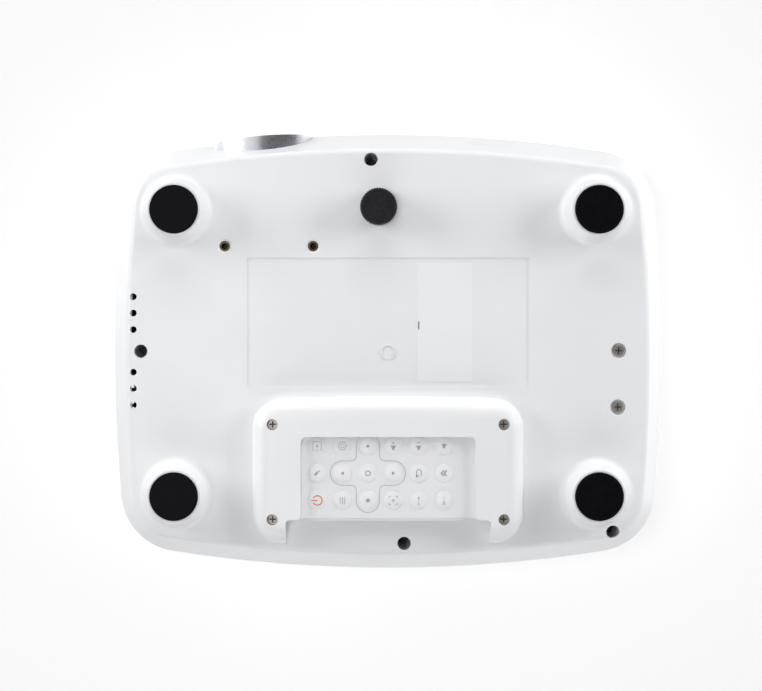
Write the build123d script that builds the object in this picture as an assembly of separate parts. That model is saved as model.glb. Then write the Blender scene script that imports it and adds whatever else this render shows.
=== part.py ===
from build123d import *
import math
import os

# Portable projector with a built-in slim disc drive, standing on its four feet.
# X runs to the right seen from the front, Y towards the rear, Z up. Millimetres.
# The lens looks along -Y. The disc tray slides out of the right side, along +X.

# ---------------------------------------------------------------- driving sizes
# Casing: two moulded shells that meet at the seam, the widest line.
half_width = 135.0
half_depth = 107.0
side_arc_radius = 1000.0
front_arc_radius = 750.0
corner_radius = 30.0
plate_z = 14.0
seam_z = 50.0
top_z = 104.0
lower_draft = 16.0
upper_draft = 7.0
bottom_edge_radius = 3.0
top_edge_radius = 14.0
wall = 2.5
seam_step = 0.4
lip_depth = 2.0
lip_thickness = 1.2
fit_gap = 0.15
slide_gap = 0.3

# Feet: four moulded bosses with a rubber pad set in each rim.
foot_x = 100.3
foot_y = 67.7
feet_middle = (-0.8, 0.7)
foot_rim_radius = 12.9
foot_neck_radius = 15.0
foot_flare = 3.5
foot_rim_z = 0.8
pad_radius = 11.4
pad_seat = 1.6
pad_edge = 0.5

# Levelling foot: a knurled knob on a threaded stud.
knob_x = -4.5
knob_y = -68.6
knob_radius = 8.9
knob_teeth = 42
tooth_depth = 0.55
knob_bottom_z = 1.4
knob_top_z = 12.4
knob_edge = 1.2
stud_radius = 3.0
stud_bottom_z = 4.0
stud_length = 42.0
stud_guide_height = 14.0
running_gap = 0.08

# Threaded inserts for a bracket.
insert_x = -56.9
insert_y = -50.2
insert_pitch = 42.2
insert_radius = 2.55
insert_bore = 1.65
insert_length = 6.0
insert_dish = 3.5
insert_dish_depth = 0.5
insert_lead = 0.2

# Casing screws: wells from below, posts from above.
deep_wells = [(-8.2, -91.7), (-118.1, -0.1), (7.6, 91.7), (107.3, 86.2)]
shallow_wells = [(110.1, -0.4), (109.7, 26.6)]
well_radius = 3.2
shallow_well_radius = 3.6
well_shelf_z = 41.0
shallow_well_depth = 3.0
boss_wall = 1.6
screw_head_radius = 2.5
screw_head_height = 1.8
screw_radius = 1.45
screw_hole_radius = 1.5
screw_reach = 14.0
board_screw_reach = 6.0
cross_width = 0.7
cross_depth = 0.7

# Recesses of the bottom plate.
label_x0, label_x1 = -67.5, 67.2
label_y0, label_y1 = -44.7, 17.0
label_depth = 0.4
sticker_x0, sticker_x1 = 14.0, 40.0
sticker_y0, sticker_y1 = -42.1, 14.6
sticker_thickness = 0.15
ring_mark_radius = 3.5
ring_mark_width = 0.4
ring_mark_y = 0.3
vent_hole_x = -121.6
vent_hole_rows = [-26.1, -18.3, -10.4, 9.9, 17.7, 25.6]
vent_hole_radius = 1.6

# Remote holder: a U-shaped bezel that carries the remote under the plate.
holder_half_width = 64.5
holder_y0, holder_y1 = 21.5, 91.5
holder_front_bow = 1.6
holder_corner = 14.0
holder_edge = 9.0
holder_z = 4.2
window_half_width = 41.4
window_y0 = 40.5
window_corner = 3.0
mouth_half_width = 48.7
mouth_y0 = 79.8
mouth_corner = 2.0
holder_screw_x = 54.8
holder_screw_rows = [34.6, 79.6]
holder_screw_recess = 2.65
holder_screw_shelf_z = 10.0
holder_boss_top_z = 23.0

# Card remote with 18 round keys.
remote_half_length = 47.5
remote_y0, remote_y1 = 35.0, 80.2
remote_corner = 4.0
remote_thickness = 6.6
remote_edge = 0.8
remote_plate_gap = 0.3
face_inset = 0.7
face_thickness = 0.8
key_columns = 6
key_rows = [44.8, 57.7, 70.6]
key_first_x = -33.65
key_pitch = 12.02
key_radius = 4.15
key_gap = 0.1
key_proud = 0.5
key_dome = 0.35
key_flange = 4.9
key_flange_height = 0.8
key_rest_gap = 0.1
key_floor_gap = 0.7
battery_x0 = 24.0
battery_half_width = 11.2
battery_thickness = 2.6
battery_cover = 0.5
battery_grip_radius = 5.0
battery_grip_depth = 1.0

# Lens opening, dish and focusing barrel; the optical axis is parallel to Y.
lens_x = -62.0
lens_z = 50.0
dish_radius = 25.0
dish_lip = 1.2
bezel_inset = 0.2
dish_throat = 18.4
dish_steps = 5
dish_front_y = -105.0
dish_back_y = -90.0
barrel_radius = 17.0
barrel_bore = 15.0
barrel_front_y = -91.0
barrel_back_y = -50.0
barrel_gap = 0.1
front_glass_radius = 14.9
front_glass_depth = 7.0
rear_glass_radius = 12.0
focus_travel = 6.0

# Optical box behind the lens, with its light source.
box_half_width = 46.0
box_half_height = 27.0
box_wall = 2.0
box_y0, box_y1 = -60.0, 62.0
sleeve_wall = 2.4
sleeve_front_y = -86.0
panel_y = -6.0
fresnel_y = -14.0
condenser_y = 22.0
collector_y = 48.0
lens_plate_thickness = 2.0
panel_glass_thickness = 3.2
collector_thickness = 3.0
heat_sink_y1 = 88.0
heat_sink_base = 4.0
heat_sink_half_width = 34.0
heat_sink_half_height = 22.0
heat_sink_fins = 12
fin_thickness = 1.2
led_size = 22.0
led_depth = 2.4

# Focus drive: motor with a lead screw beside the barrel.
focus_screw_dx = 27.0
focus_screw_radius = 1.5
focus_motor_radius = 6.0
focus_motor_length = 12.0
focus_screw_front_y = -84.0
arm_thickness = 5.0
arm_half_height = 4.0
arm_y = -72.0

# Fan behind the left grille.
fan_y = 37.5
fan_z = 66.0
fan_size = 50.0
fan_depth = 15.0
fan_outer_x = -124.3
fan_bore = 23.4
fan_hub_radius = 11.0
fan_blades = 7
blade_gap = 0.6
blade_thickness = 1.2
blade_pitch_angle = 40.0
fan_strut = 3.0
fan_plate = 2.0

# Slim disc drive: chassis, cover, rails and a tray that carries the mechanism.
drive_x0, drive_x1 = 1.0, 128.8
drive_half_width = 64.0
drive_z = 57.0
drive_height = 12.7
sheet = 0.8
cover_rib_margin = 25.0
cover_rib_width = 3.0
cover_rib_height = 0.6
cover_rib_pitch = 40.0
tray_x0 = 5.0
tray_half_width = 61.4
tray_bottom_gap = 0.6
tray_thickness = 8.5
tray_front_gap = 0.4
disc_seat_radius = 60.4
disc_seat_depth = 2.5
small_seat_radius = 40.4
small_seat_depth = 1.0
hub_to_front = 62.2
rail_thickness = 1.3
rail_height = 6.0
rail_x0 = 15.0
rail_length = 110.0

# Pickup mechanism, laid out along the sled axis that starts at the spindle.
sled_angle = -45.0
pocket_floor = 1.2
pocket_near, pocket_far = -14.0, 67.0
pocket_half_width = 17.0
screw_pocket_near, screw_pocket_far = -16.0, 61.0
screw_pocket_width = 5.2
rod_radius = 1.5
rod_offset = 14.0
rod_lift = 2.2
rod_seat = 2.5
sled_gap = 0.12
sled_height = 3.9
sled_near, sled_far = -11.6, 6.8
sled_half_width = 16.2
sled_arm_near, sled_arm_far = -11.6, -3.0
sled_floor_gap = 0.5
sled_arm_wall = 1.0
read_radius_min = 24.0
lens_dome_radius = 2.2
lens_dome_height = 0.4
lens_ring_radius = 4.0
lens_ring_depth = 0.8
sled_groove_y = (-9.0, -5.0)
sled_groove_depth = 1.2
lead_screw_radius = 1.5
lead_screw_offset = 19.2
stepper_radius = 2.0
stepper_length = 12.0
spindle_motor_radius = 11.0
spindle_flange_radius = 13.5
spindle_flange_height = 0.8
spindle_cap_radius = 7.35
spindle_cap_height = 2.2
spindle_cap_edge = 0.8
spindle_dimple_radius = 3.5
disc_lift = 1.0

# Tray front and eject button.
slot_gap = 0.4
tray_front_half_width = 64.2
eject_y = 48.0
eject_length = 9.0
eject_height = 3.0
eject_travel = 1.2
eject_proud = 0.3
eject_flange = 1.5
eject_flange_rise = 1.0
eject_flange_depth = 1.0
eject_gap = 0.2

# Push keys on the top.
top_key_y = 66.0
top_key_pitch = 17.0
top_key_first_x = -25.5
top_key_count = 4
top_key_radius = 4.5
top_key_flange = 5.6
top_key_flange_height = 1.2
top_key_edge = 0.6
key_field_depth = 0.8
key_field_margin = 4.5
key_field_proud = 0.3
stem_radius = 1.5
stem_length = 1.6
stem_rest_gap = 0.6
key_board_thickness = 1.6
key_board_half_depth = 8.0
switch_size = 6.0
switch_height = 1.4

# Grilles: inserts of slats set in openings of the upper walls.
grille_gap = 0.15
grille_inset = 0.3
grille_thickness = 2.0
slat_pitch = 4.0
slot_width = 2.2
left_grille_y = (12.5, 62.5)
left_grille_z = (56.0, 86.0)
right_grille_y = (-70.0, 70.0)
right_grille_z = (75.0, 87.0)
rear_grille_x = (-100.0, -64.0)
rear_grille_z = (58.0, 84.0)
grille_frame = 2.0

# Rear connector panel, connectors and mains inlet.
panel_x = (-23.0, 70.0)
panel_z = (58.0, 80.0)
panel_inset = 1.2
panel_thickness = 2.0
connector_proud = 0.3
main_board_z = 60.4
board_thickness = 1.6
board_post_radius = 3.5
stand_off_foot = 1.0
drive_post_inset_x = 16.0
drive_post_inset_y = 8.0
main_board_post_inset = 5.0
fan_foot = 2.0
main_board_x = (-25.0, 70.0)
main_board_y = (68.0, 96.0)
connector_gap = 0.15
jack_radius = 3.8
jack_nose_radius = 3.2
jack_collar_gap = 1.0
jack_bore = 1.75
jack_depth = 14.0
box_connector_depth = 14.0
hdmi_size = (15.0, 5.6)
usb_size = (13.2, 5.8)
connector_shell = 0.5
connector_back = 2.0
tongue = 1.6
inlet_x = 87.0
inlet_z = 69.0
inlet_width = 27.0
inlet_height = 20.0
inlet_depth = 18.0
inlet_wall = 2.0
inlet_floor = 3.0
inlet_corner = 4.0
inlet_pin_spacing = 7.0
inlet_pin_drop = 2.0
inlet_pin_width = 2.0
inlet_pin_height = 4.0
inlet_pin_length = 10.0
inlet_pin_root = 0.5

# Parts on the main board: a chip and a heat sink.
board_cut_gap = 1.0
chip_x, chip_y = (0.0, 16.0), (72.0, 84.0)
chip_height = 1.5
sink_x, sink_y = (-20.0, -6.0), (71.0, 85.0)
sink_height = 6.0

# Power board with its transformer, capacitor and coil, and the speakers.
transformer_x, transformer_y = (50.0, 76.0), (-20.0, 6.0)
transformer_height = 20.0
capacitor_place = (94.0, -30.0)
capacitor_radius = 8.0
capacitor_height = 24.0
coil_place = (40.0, 30.0)
coil_radius = 7.0
coil_height = 12.0
power_board_x = (22.0, 118.0)
power_board_y = (-52.0, 52.0)
power_board_z = 24.0
board_boss_points = [(30.0, -44.0), (30.0, 44.0), (110.0, -44.0)]
speaker_half_length = 30.0
speaker_y = 40.0
speaker_z = (73.0, 88.5)
speaker_front_x = 124.2
speaker_depth = 12.0
speaker_flange = 2.0
speaker_edge = 1.5
speaker_magnet_depth = 4.0
speaker_cone_depth = 3.0


# ---------------------------------------------------------------- shape helpers
def block(x, y, z):
    """Box between two limits on each axis."""
    centre = Pos((x[0] + x[1]) / 2, (y[0] + y[1]) / 2, (z[0] + z[1]) / 2)
    return centre * Box(x[1] - x[0], y[1] - y[0], z[1] - z[0])


def post(x, y, radius, z0, z1):
    """Upright cylinder."""
    return Pos(x, y, (z0 + z1) / 2) * Cylinder(radius, z1 - z0)


def rod_y(x, z, radius, y0, y1):
    """Cylinder along Y."""
    return Pos(x, (y0 + y1) / 2, z) * Rot(90, 0, 0) * Cylinder(radius, y1 - y0)


def rod_x(y, z, radius, x0, x1):
    """Cylinder along X."""
    return Pos((x0 + x1) / 2, y, z) * Rot(0, 90, 0) * Cylinder(radius, x1 - x0)


def crown_arc(radius, edge_level, axis_level):
    """Arc of a dome's profile, from its edge to the axis, level where it meets the axis."""
    rise = axis_level - edge_level
    ball = (radius**2 + rise**2) / (2 * abs(rise))
    half_x = radius / 2
    drop = ball - math.sqrt(ball**2 - half_x**2)
    middle_level = axis_level - math.copysign(drop, rise)
    return ThreePointArc((radius, edge_level), (half_x, middle_level), (0, axis_level))


def join(shapes):
    """Fuse a list of shapes into one."""
    total = shapes[0]
    for shape in shapes[1:]:
        total = total + shape
    return total


def outline(inset=0.0):
    """Plan of the casing, drawn in from the seam line: four shallow arcs, rounded corners."""
    w = half_width - inset
    d = half_depth - inset
    side_radius = side_arc_radius - inset
    front_radius = front_arc_radius - inset
    x = w - side_radius + math.sqrt(side_radius**2 - d**2)
    y = d - front_radius + math.sqrt(front_radius**2 - w**2)
    corners = [(-x, -y), (x, -y), (x, y), (-x, y)]
    middles = [(0, -d), (w, 0), (0, d), (-w, 0)]
    arcs = [ThreePointArc(corners[i], middles[i], corners[(i + 1) % 4]) for i in range(4)]
    face = make_face(Curve() + arcs)
    return fillet(face.vertices(), corner_radius - inset)


def tapered_form(inset, end_z, draft):
    """Solid between the seam and another level, drawn in by the draft angle."""
    drawn_in = inset + abs(end_z - seam_z) * math.tan(math.radians(draft))
    start = Pos(0, 0, seam_z) * outline(inset)
    end = Pos(0, 0, end_z) * outline(drawn_in)
    return loft([start.face(), end.face()])


def lower_form(inset, floor_z, edge=0.0):
    """Solid that fills the lower shell, drawn in towards the floor."""
    solid = tapered_form(inset, floor_z, lower_draft)
    if edge:
        solid = fillet(solid.faces().sort_by(Axis.Z)[0].edges(), edge)
    return solid


def upper_form(inset, roof_z, edge):
    """Solid that fills the upper shell, with its large rounded top edge."""
    solid = tapered_form(inset, roof_z, upper_draft)
    return fillet(solid.faces().sort_by(Axis.Z)[-1].edges(), edge)


upper_skin = upper_form(seam_step, top_z, top_edge_radius)
upper_core = upper_form(seam_step + wall, top_z - wall, top_edge_radius - wall)
lower_skin = lower_form(0.0, plate_z, bottom_edge_radius)
lower_core = lower_form(wall, plate_z + wall)


def wall_slice(depth, thickness, region):
    """Curved sheet that follows the upper wall, some depth below its surface."""
    outer = upper_form(seam_step + depth, top_z - depth, top_edge_radius - depth)
    inner_depth = depth + thickness
    inner = upper_form(seam_step + inner_depth, top_z - inner_depth, top_edge_radius - inner_depth)
    return (outer & region) - inner


# ---------------------------------------------------------------- lower housing
def foot_boss():
    """Flared boss with a rounded rim, on the Z axis."""
    shoulder = 0.8
    flare_x = foot_neck_radius + foot_flare
    flare_z = plate_z - foot_flare
    bend = foot_flare * math.sqrt(0.5)
    root_z = plate_z + wall / 2
    edge = [
        Line((0, foot_rim_z), (foot_rim_radius - shoulder, foot_rim_z)),
        RadiusArc(
            (foot_rim_radius - shoulder, foot_rim_z),
            (foot_rim_radius, foot_rim_z + shoulder),
            -shoulder,
        ),
        Line((foot_rim_radius, foot_rim_z + shoulder), (foot_neck_radius, flare_z)),
        ThreePointArc((foot_neck_radius, flare_z), (flare_x - bend, flare_z + bend), (flare_x, plate_z)),
        Line((flare_x, plate_z), (flare_x, root_z)),
        Line((flare_x, root_z), (0, root_z)),
        Line((0, root_z), (0, foot_rim_z)),
    ]
    profile = Plane.XZ * make_face(Curve() + edge)
    return revolve(profile, axis=Axis.Z)


def foot_places():
    x, y = feet_middle
    return [Pos(x + sx * foot_x, y + sy * foot_y, 0) for sx in (-1, 1) for sy in (-1, 1)]


def insert_places():
    return [insert_x - insert_pitch / 2, insert_x + insert_pitch / 2]


def holder_screw_points():
    return [(side * holder_screw_x, y) for side in (-1, 1) for y in holder_screw_rows]


def drive_post_points():
    xs = (drive_x0 + drive_post_inset_x, drive_x1 - drive_post_inset_x)
    ys = (-drive_half_width + drive_post_inset_y, drive_half_width - drive_post_inset_y)
    return [(x, y) for x in xs for y in ys]


def main_board_posts():
    xs = (main_board_x[0] + main_board_post_inset, main_board_x[1] - main_board_post_inset)
    return [(x, main_board_y[0] + main_board_post_inset) for x in xs]


def lower_bosses():
    """Everything that stands on the plate inside the lower shell."""
    floor = plate_z + wall / 2
    parts = [post(x, y, well_radius + boss_wall, floor, seam_z) for x, y in deep_wells]
    for x, y in shallow_wells:
        parts.append(post(x, y, shallow_well_radius + boss_wall, floor, power_board_z))
    for x in insert_places():
        parts.append(post(x, insert_y, insert_dish + boss_wall, floor, plate_z + insert_length + boss_wall))
    for x, y in holder_screw_points():
        parts.append(post(x, y, screw_hole_radius + 2 * boss_wall, floor, holder_boss_top_z))
    guide_top = plate_z + wall + stud_guide_height
    parts.append(post(knob_x, knob_y, stud_radius + 2 * boss_wall, floor, guide_top))
    return parts


def stand_off(x, y, top):
    """Turned post with a wider foot, screwed to the floor of the lower shell."""
    floor = plate_z + wall
    body = post(x, y, board_post_radius, floor, top)
    return body + post(x, y, board_post_radius + stand_off_foot, floor, floor + stand_off_foot)


def stand_offs():
    """Posts that carry the drive, the boards and the optical box, and the fan's two feet."""
    parts = [stand_off(x, y, drive_z) for x, y in drive_post_points()]
    parts += [stand_off(x, y, main_board_z) for x, y in main_board_posts()]
    parts += [stand_off(x, y, power_board_z) for x, y in board_boss_points]
    for sx in (-1, 1):
        for y in (box_y0 + 2 * board_post_radius, box_y1 - 2 * board_post_radius):
            x = lens_x + sx * (box_half_width - board_post_radius)
            parts.append(stand_off(x, y, lens_z - box_half_height))
    fan_x = (fan_outer_x + fan_depth / 2, fan_outer_x + fan_depth)
    for sy in (-1, 1):
        y = fan_y + sy * fan_size / 3
        foot_y0, foot_y1 = y - fan_foot / 2, y + fan_foot / 2
        parts.append(block(fan_x, (foot_y0, foot_y1), (plate_z + wall, fan_z - fan_size / 2)))
    return parts


def lens_opening():
    return rod_y(lens_x, lens_z, dish_radius, -half_depth - wall, dish_back_y)


def lower_housing():
    shell = lower_skin - lower_core
    shell = shell + (join(lower_bosses()) & lower_skin)
    for place in foot_places():
        shell = shell + place * foot_boss()
        recess = Pos(0, 0, foot_rim_z + pad_seat / 2) * Cylinder(pad_radius + fit_gap, pad_seat)
        shell = shell - place * recess
    below = plate_z - wall
    for x, y in deep_wells:
        shell = shell - post(x, y, well_radius, below, well_shelf_z)
        shell = shell - post(x, y, screw_hole_radius + fit_gap, well_shelf_z, seam_z)
    for x, y in shallow_wells:
        shelf = plate_z + shallow_well_depth
        shell = shell - post(x, y, shallow_well_radius, below, shelf)
        shell = shell - post(x, y, screw_hole_radius + fit_gap, shelf, power_board_z)
    for x, y in holder_screw_points():
        shell = shell - post(x, y, screw_hole_radius, below, holder_boss_top_z - boss_wall)
    for x in insert_places():
        shell = shell - post(x, insert_y, insert_radius, below, plate_z + insert_length)
        rim = Pos(x, insert_y, plate_z + insert_dish_depth / 2)
        shell = shell - rim * Cone(insert_dish, insert_radius, insert_dish_depth)
    shell = shell - post(knob_x, knob_y, stud_radius + running_gap, below, seam_z)
    shell = shell - block((label_x0, label_x1), (label_y0, label_y1), (below, plate_z + label_depth))
    mark = post(0, ring_mark_y, ring_mark_radius, plate_z, plate_z + label_depth)
    mark = mark - post(0, ring_mark_y, ring_mark_radius - ring_mark_width, plate_z, plate_z + label_depth)
    shell = shell + mark
    for y in vent_hole_rows:
        shell = shell - post(vent_hole_x, y, vent_hole_radius, below, plate_z + wall)
    return shell - lens_opening()


# ---------------------------------------------------------------- upper housing
def top_key_points():
    return [(top_key_first_x + i * top_key_pitch, top_key_y) for i in range(top_key_count)]


def key_field():
    """Sunk field that holds the top keys: a slot shape."""
    margin = top_key_radius + key_field_margin
    length = (top_key_count - 1) * top_key_pitch + 2 * margin
    centre_x = top_key_first_x + (top_key_count - 1) * top_key_pitch / 2
    plan = Pos(centre_x, top_key_y, top_z - key_field_depth) * SlotOverall(length, 2 * margin)
    return extrude(plan, amount=2 * key_field_depth)


def key_board_z():
    """Top face of the switch board under the keys."""
    flange_bottom = top_z - wall - key_rest_gap - top_key_flange_height
    return flange_bottom - stem_length - stem_rest_gap - switch_height


def key_board_ends():
    reach = top_key_pitch
    first = top_key_first_x - reach
    last = top_key_first_x + (top_key_count - 1) * top_key_pitch + reach
    return first, last


def drive_slot():
    z = (drive_z - slot_gap, drive_z + drive_height + slot_gap)
    y = (-tray_front_half_width - slot_gap, tray_front_half_width + slot_gap)
    return block((drive_x1 - 2 * wall, half_width + wall), y, z)


def grille_regions():
    """Name the three grille openings as boxes that reach through the wall."""
    reach = 4 * wall
    left = block((-half_width - reach, 2 * reach - half_width), left_grille_y, left_grille_z)
    right = block((half_width - 2 * reach, half_width + reach), right_grille_y, right_grille_z)
    rear = block(rear_grille_x, (half_depth - 2 * reach, half_depth + reach), rear_grille_z)
    return left, right, rear


def panel_region(gap=0.0):
    x = (panel_x[0] + gap, panel_x[1] - gap)
    z = (panel_z[0] + gap, panel_z[1] - gap)
    return block(x, (half_depth - 6 * wall, half_depth + wall), z)


def inlet_region(gap=0.0):
    x = (inlet_x - inlet_width / 2 - gap, inlet_x + inlet_width / 2 + gap)
    z = (inlet_z - inlet_height / 2 - gap, inlet_z + inlet_height / 2 + gap)
    return block(x, (half_depth - 6 * wall, half_depth + wall), z)


def upper_housing():
    shell = upper_skin - upper_core
    posts = [post(x, y, well_radius + boss_wall, seam_z, top_z - wall / 2) for x, y in deep_wells]
    for x in key_board_ends():
        inner = board_post_radius * (1 if x < 0 else -1)
        posts.append(post(x + inner, top_key_y, board_post_radius, key_board_z(), top_z - wall / 2))
    shell = shell + (join(posts) & upper_skin)
    lip_z = seam_z - lip_depth
    lip_inset = wall + lip_depth * math.tan(math.radians(lower_draft)) + fit_gap
    lip_inner = outline(lip_inset + lip_thickness)
    lip = extrude(Pos(0, 0, lip_z) * (outline(lip_inset) - lip_inner), amount=lip_depth)
    lip = lip + extrude(Pos(0, 0, seam_z) * (outline(wall) - lip_inner), amount=wall)
    for x, y in deep_wells:
        lip = lip - post(x, y, well_radius + boss_wall + fit_gap, lip_z, seam_z)
    shell = shell + lip
    for x, y in deep_wells:
        shell = shell - post(x, y, screw_hole_radius, seam_z - wall, well_shelf_z + screw_reach + wall)
    shell = shell - key_field()
    for x, y in top_key_points():
        shell = shell - post(x, y, top_key_radius + slide_gap, top_z - 2 * wall, top_z)
    shell = shell - drive_slot()
    for region in grille_regions():
        shell = shell - region
    shell = shell - panel_region() - inlet_region(connector_gap)
    return shell - lens_opening()


def grille(region, slats_along, span):
    """Slatted insert: vertical slots cut through a sheet that follows the wall."""
    sheet_body = wall_slice(grille_inset, grille_thickness, region)
    limits = sheet_body.bounding_box()
    count = int((span[1] - span[0] - 2 * grille_frame) // slat_pitch)
    start = (span[0] + span[1] - (count - 1) * slat_pitch) / 2
    z = (limits.min.Z + grille_frame, limits.max.Z - grille_frame)
    for i in range(count):
        middle = start + i * slat_pitch
        across = (middle - slot_width / 2, middle + slot_width / 2)
        if slats_along == "Y":
            cut = block((limits.min.X - wall, limits.max.X + wall), across, z)
        else:
            cut = block(across, (limits.min.Y - wall, limits.max.Y + wall), z)
        sheet_body = sheet_body - cut
    return sheet_body


def air_grilles():
    left, right, rear = grille_regions()
    return [
        grille(left, "Y", left_grille_y),
        grille(right, "Y", right_grille_y),
        grille(rear, "X", rear_grille_x),
    ]


# ---------------------------------------------------------------- small fixed parts
def foot_pads():
    depth = foot_rim_z + pad_seat
    pad = Pos(0, 0, depth / 2) * Cylinder(pad_radius, depth)
    pad = fillet(pad.edges().group_by(Axis.Z)[0], pad_edge)
    return [place * pad for place in foot_places()]


def screw(x, y, shelf_z, reach):
    """Cross-head screw driven upwards; its head bears on the shelf above it."""
    head_z = shelf_z - screw_head_height
    head = post(x, y, screw_head_radius, head_z, shelf_z)
    arm = 1.6
    slot_z = (head_z, head_z + cross_depth)
    head = head - block((x - arm, x + arm), (y - cross_width / 2, y + cross_width / 2), slot_z)
    head = head - block((x - cross_width / 2, x + cross_width / 2), (y - arm, y + arm), slot_z)
    return head + post(x, y, screw_radius, shelf_z, shelf_z + reach)


def case_screws():
    parts = [screw(x, y, well_shelf_z, screw_reach) for x, y in deep_wells]
    for x, y in shallow_wells:
        shelf = plate_z + shallow_well_depth
        parts.append(screw(x, y, shelf, power_board_z + board_thickness - shelf))
    for x, y in holder_screw_points():
        parts.append(screw(x, y, holder_screw_shelf_z, plate_z + board_screw_reach - holder_screw_shelf_z))
    return parts


def threaded_inserts():
    parts = []
    for x in insert_places():
        body = post(x, insert_y, insert_radius, plate_z + insert_dish_depth, plate_z + insert_length)
        body = chamfer(body.edges().group_by(Axis.Z)[0], insert_lead)
        parts.append(body - post(x, insert_y, insert_bore, plate_z, plate_z + insert_length))
    return parts


def blank_label():
    z = plate_z + label_depth
    sheet_body = block((sticker_x0, sticker_x1), (sticker_y0, sticker_y1), (z - sticker_thickness, z))
    return fillet(sheet_body.edges().filter_by(Axis.Z), 1.0)


# ---------------------------------------------------------------- remote holder
def holder_plan():
    """Outline with a slightly bowed front edge and rounded corners."""
    w = holder_half_width
    front = holder_y0 + holder_front_bow
    edge = [
        ThreePointArc((-w, front), (0, holder_y0), (w, front)),
        Line((w, front), (w, holder_y1)),
        Line((w, holder_y1), (-w, holder_y1)),
        Line((-w, holder_y1), (-w, front)),
    ]
    face = make_face(Curve() + edge)
    return fillet(face.vertices(), holder_corner)


def holder_notch():
    """Window over the keys, and the wider mouth behind it."""
    beyond = holder_y1 + holder_corner
    window = Pos(0, (window_y0 + beyond) / 2) * Rectangle(2 * window_half_width, beyond - window_y0)
    mouth = Pos(0, (mouth_y0 + beyond) / 2) * Rectangle(2 * mouth_half_width, beyond - mouth_y0)
    plan = window + mouth
    front = plan.vertices().group_by(Axis.Y)[0]
    plan = fillet(front, window_corner)
    step = [v for v in plan.vertices() if abs(v.Y - mouth_y0) < 0.01]
    return fillet(step, mouth_corner)


def remote_z():
    """Underside and top of the remote as it lies in the holder."""
    top = plate_z - remote_plate_gap
    return top - remote_thickness, top


def holder_bezel():
    body = extrude(Pos(0, 0, holder_z) * holder_plan(), amount=plate_z - holder_z)
    body = fillet(body.faces().sort_by(Axis.Z)[0].edges(), holder_edge)
    body = body - extrude(Pos(0, 0, holder_z) * holder_notch(), amount=plate_z - holder_z)
    half = remote_half_length + slide_gap
    bottom, top = remote_z()
    pocket_z = (bottom - remote_plate_gap, plate_z)
    body = body - block((-half, half), (remote_y0 - slide_gap, holder_y1), pocket_z)
    for x, y in holder_screw_points():
        body = body - post(x, y, holder_screw_recess, holder_z, holder_screw_shelf_z)
        body = body - post(x, y, screw_hole_radius + fit_gap, holder_screw_shelf_z, plate_z)
    return body


# ---------------------------------------------------------------- card remote
def remote_plan(inset=0.0):
    length = 2 * (remote_half_length - inset)
    width = remote_y1 - remote_y0 - 2 * inset
    centre = Pos(0, (remote_y0 + remote_y1) / 2)
    return centre * RectangleRounded(length, width, remote_corner - inset)


def remote_key_points():
    return [(key_first_x + i * key_pitch, y) for y in key_rows for i in range(key_columns)]


def key_levels():
    """Heights in the remote: face inner side, key flange top, key chamber roof."""
    face_inner = remote_z()[0] + face_thickness
    flange_top = face_inner + key_rest_gap + key_flange_height
    return face_inner, flange_top, flange_top + key_floor_gap


def battery_levels():
    top = remote_z()[1] - battery_cover
    return top - battery_thickness, top


def remote_case():
    bottom, top = remote_z()
    body = extrude(Pos(0, 0, bottom) * remote_plan(), amount=top - bottom)
    body = fillet(body.edges().group_by(Axis.Z)[-1], remote_edge)
    face_inner, flange_top, roof = key_levels()
    body = body - extrude(Pos(0, 0, bottom) * remote_plan(face_inset), amount=face_thickness)
    margin = key_flange + key_gap
    last_x = key_first_x + (key_columns - 1) * key_pitch
    x = (key_first_x - margin, last_x + margin)
    y = (key_rows[0] - margin, key_rows[-1] + margin)
    body = body - block(x, y, (face_inner, roof))
    low, high = battery_levels()
    width = battery_half_width + fit_gap
    middle = (remote_y0 + remote_y1) / 2
    slot_y = (middle - width, middle + width)
    return body - block((battery_x0 - fit_gap, remote_half_length), slot_y, (low, high))


def remote_face():
    bottom = remote_z()[0]
    plate = extrude(Pos(0, 0, bottom) * remote_plan(face_inset + fit_gap), amount=face_thickness)
    for x, y in remote_key_points():
        plate = plate - post(x, y, key_radius + key_gap, bottom, bottom + face_thickness)
    return plate


def battery_tray():
    """Drawer for a coin cell, with a scooped finger grip in its end."""
    low, high = battery_levels()
    middle = (remote_y0 + remote_y1) / 2
    y = (middle - battery_half_width, middle + battery_half_width)
    body = block((battery_x0, remote_half_length - fit_gap), y, (low + fit_gap, high - fit_gap))
    grip_x = remote_half_length + battery_grip_radius - battery_grip_depth
    return body - post(grip_x, middle, battery_grip_radius, low, high)


def remote_key(x, y):
    """Round key with a shallow dome on its pressed side and a flange inside."""
    bottom = remote_z()[0]
    face_inner, flange_top, roof = key_levels()
    cap_z = bottom - key_proud
    flange_z = face_inner + key_rest_gap
    edge = [
        Line((0, flange_top), (key_flange, flange_top)),
        Line((key_flange, flange_top), (key_flange, flange_z)),
        Line((key_flange, flange_z), (key_radius, flange_z)),
        Line((key_radius, flange_z), (key_radius, cap_z + key_dome)),
        crown_arc(key_radius, cap_z + key_dome, cap_z),
        Line((0, cap_z), (0, flange_top)),
    ]
    profile = Plane.XZ * make_face(Curve() + edge)
    return Pos(x, y, 0) * revolve(profile, axis=Axis.Z)


# ---------------------------------------------------------------- levelling foot
def foot_stud():
    body = post(knob_x, knob_y, stud_radius, stud_bottom_z, stud_bottom_z + stud_length)
    return chamfer(body.edges().group_by(Axis.Z)[-1], 0.6)


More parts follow.
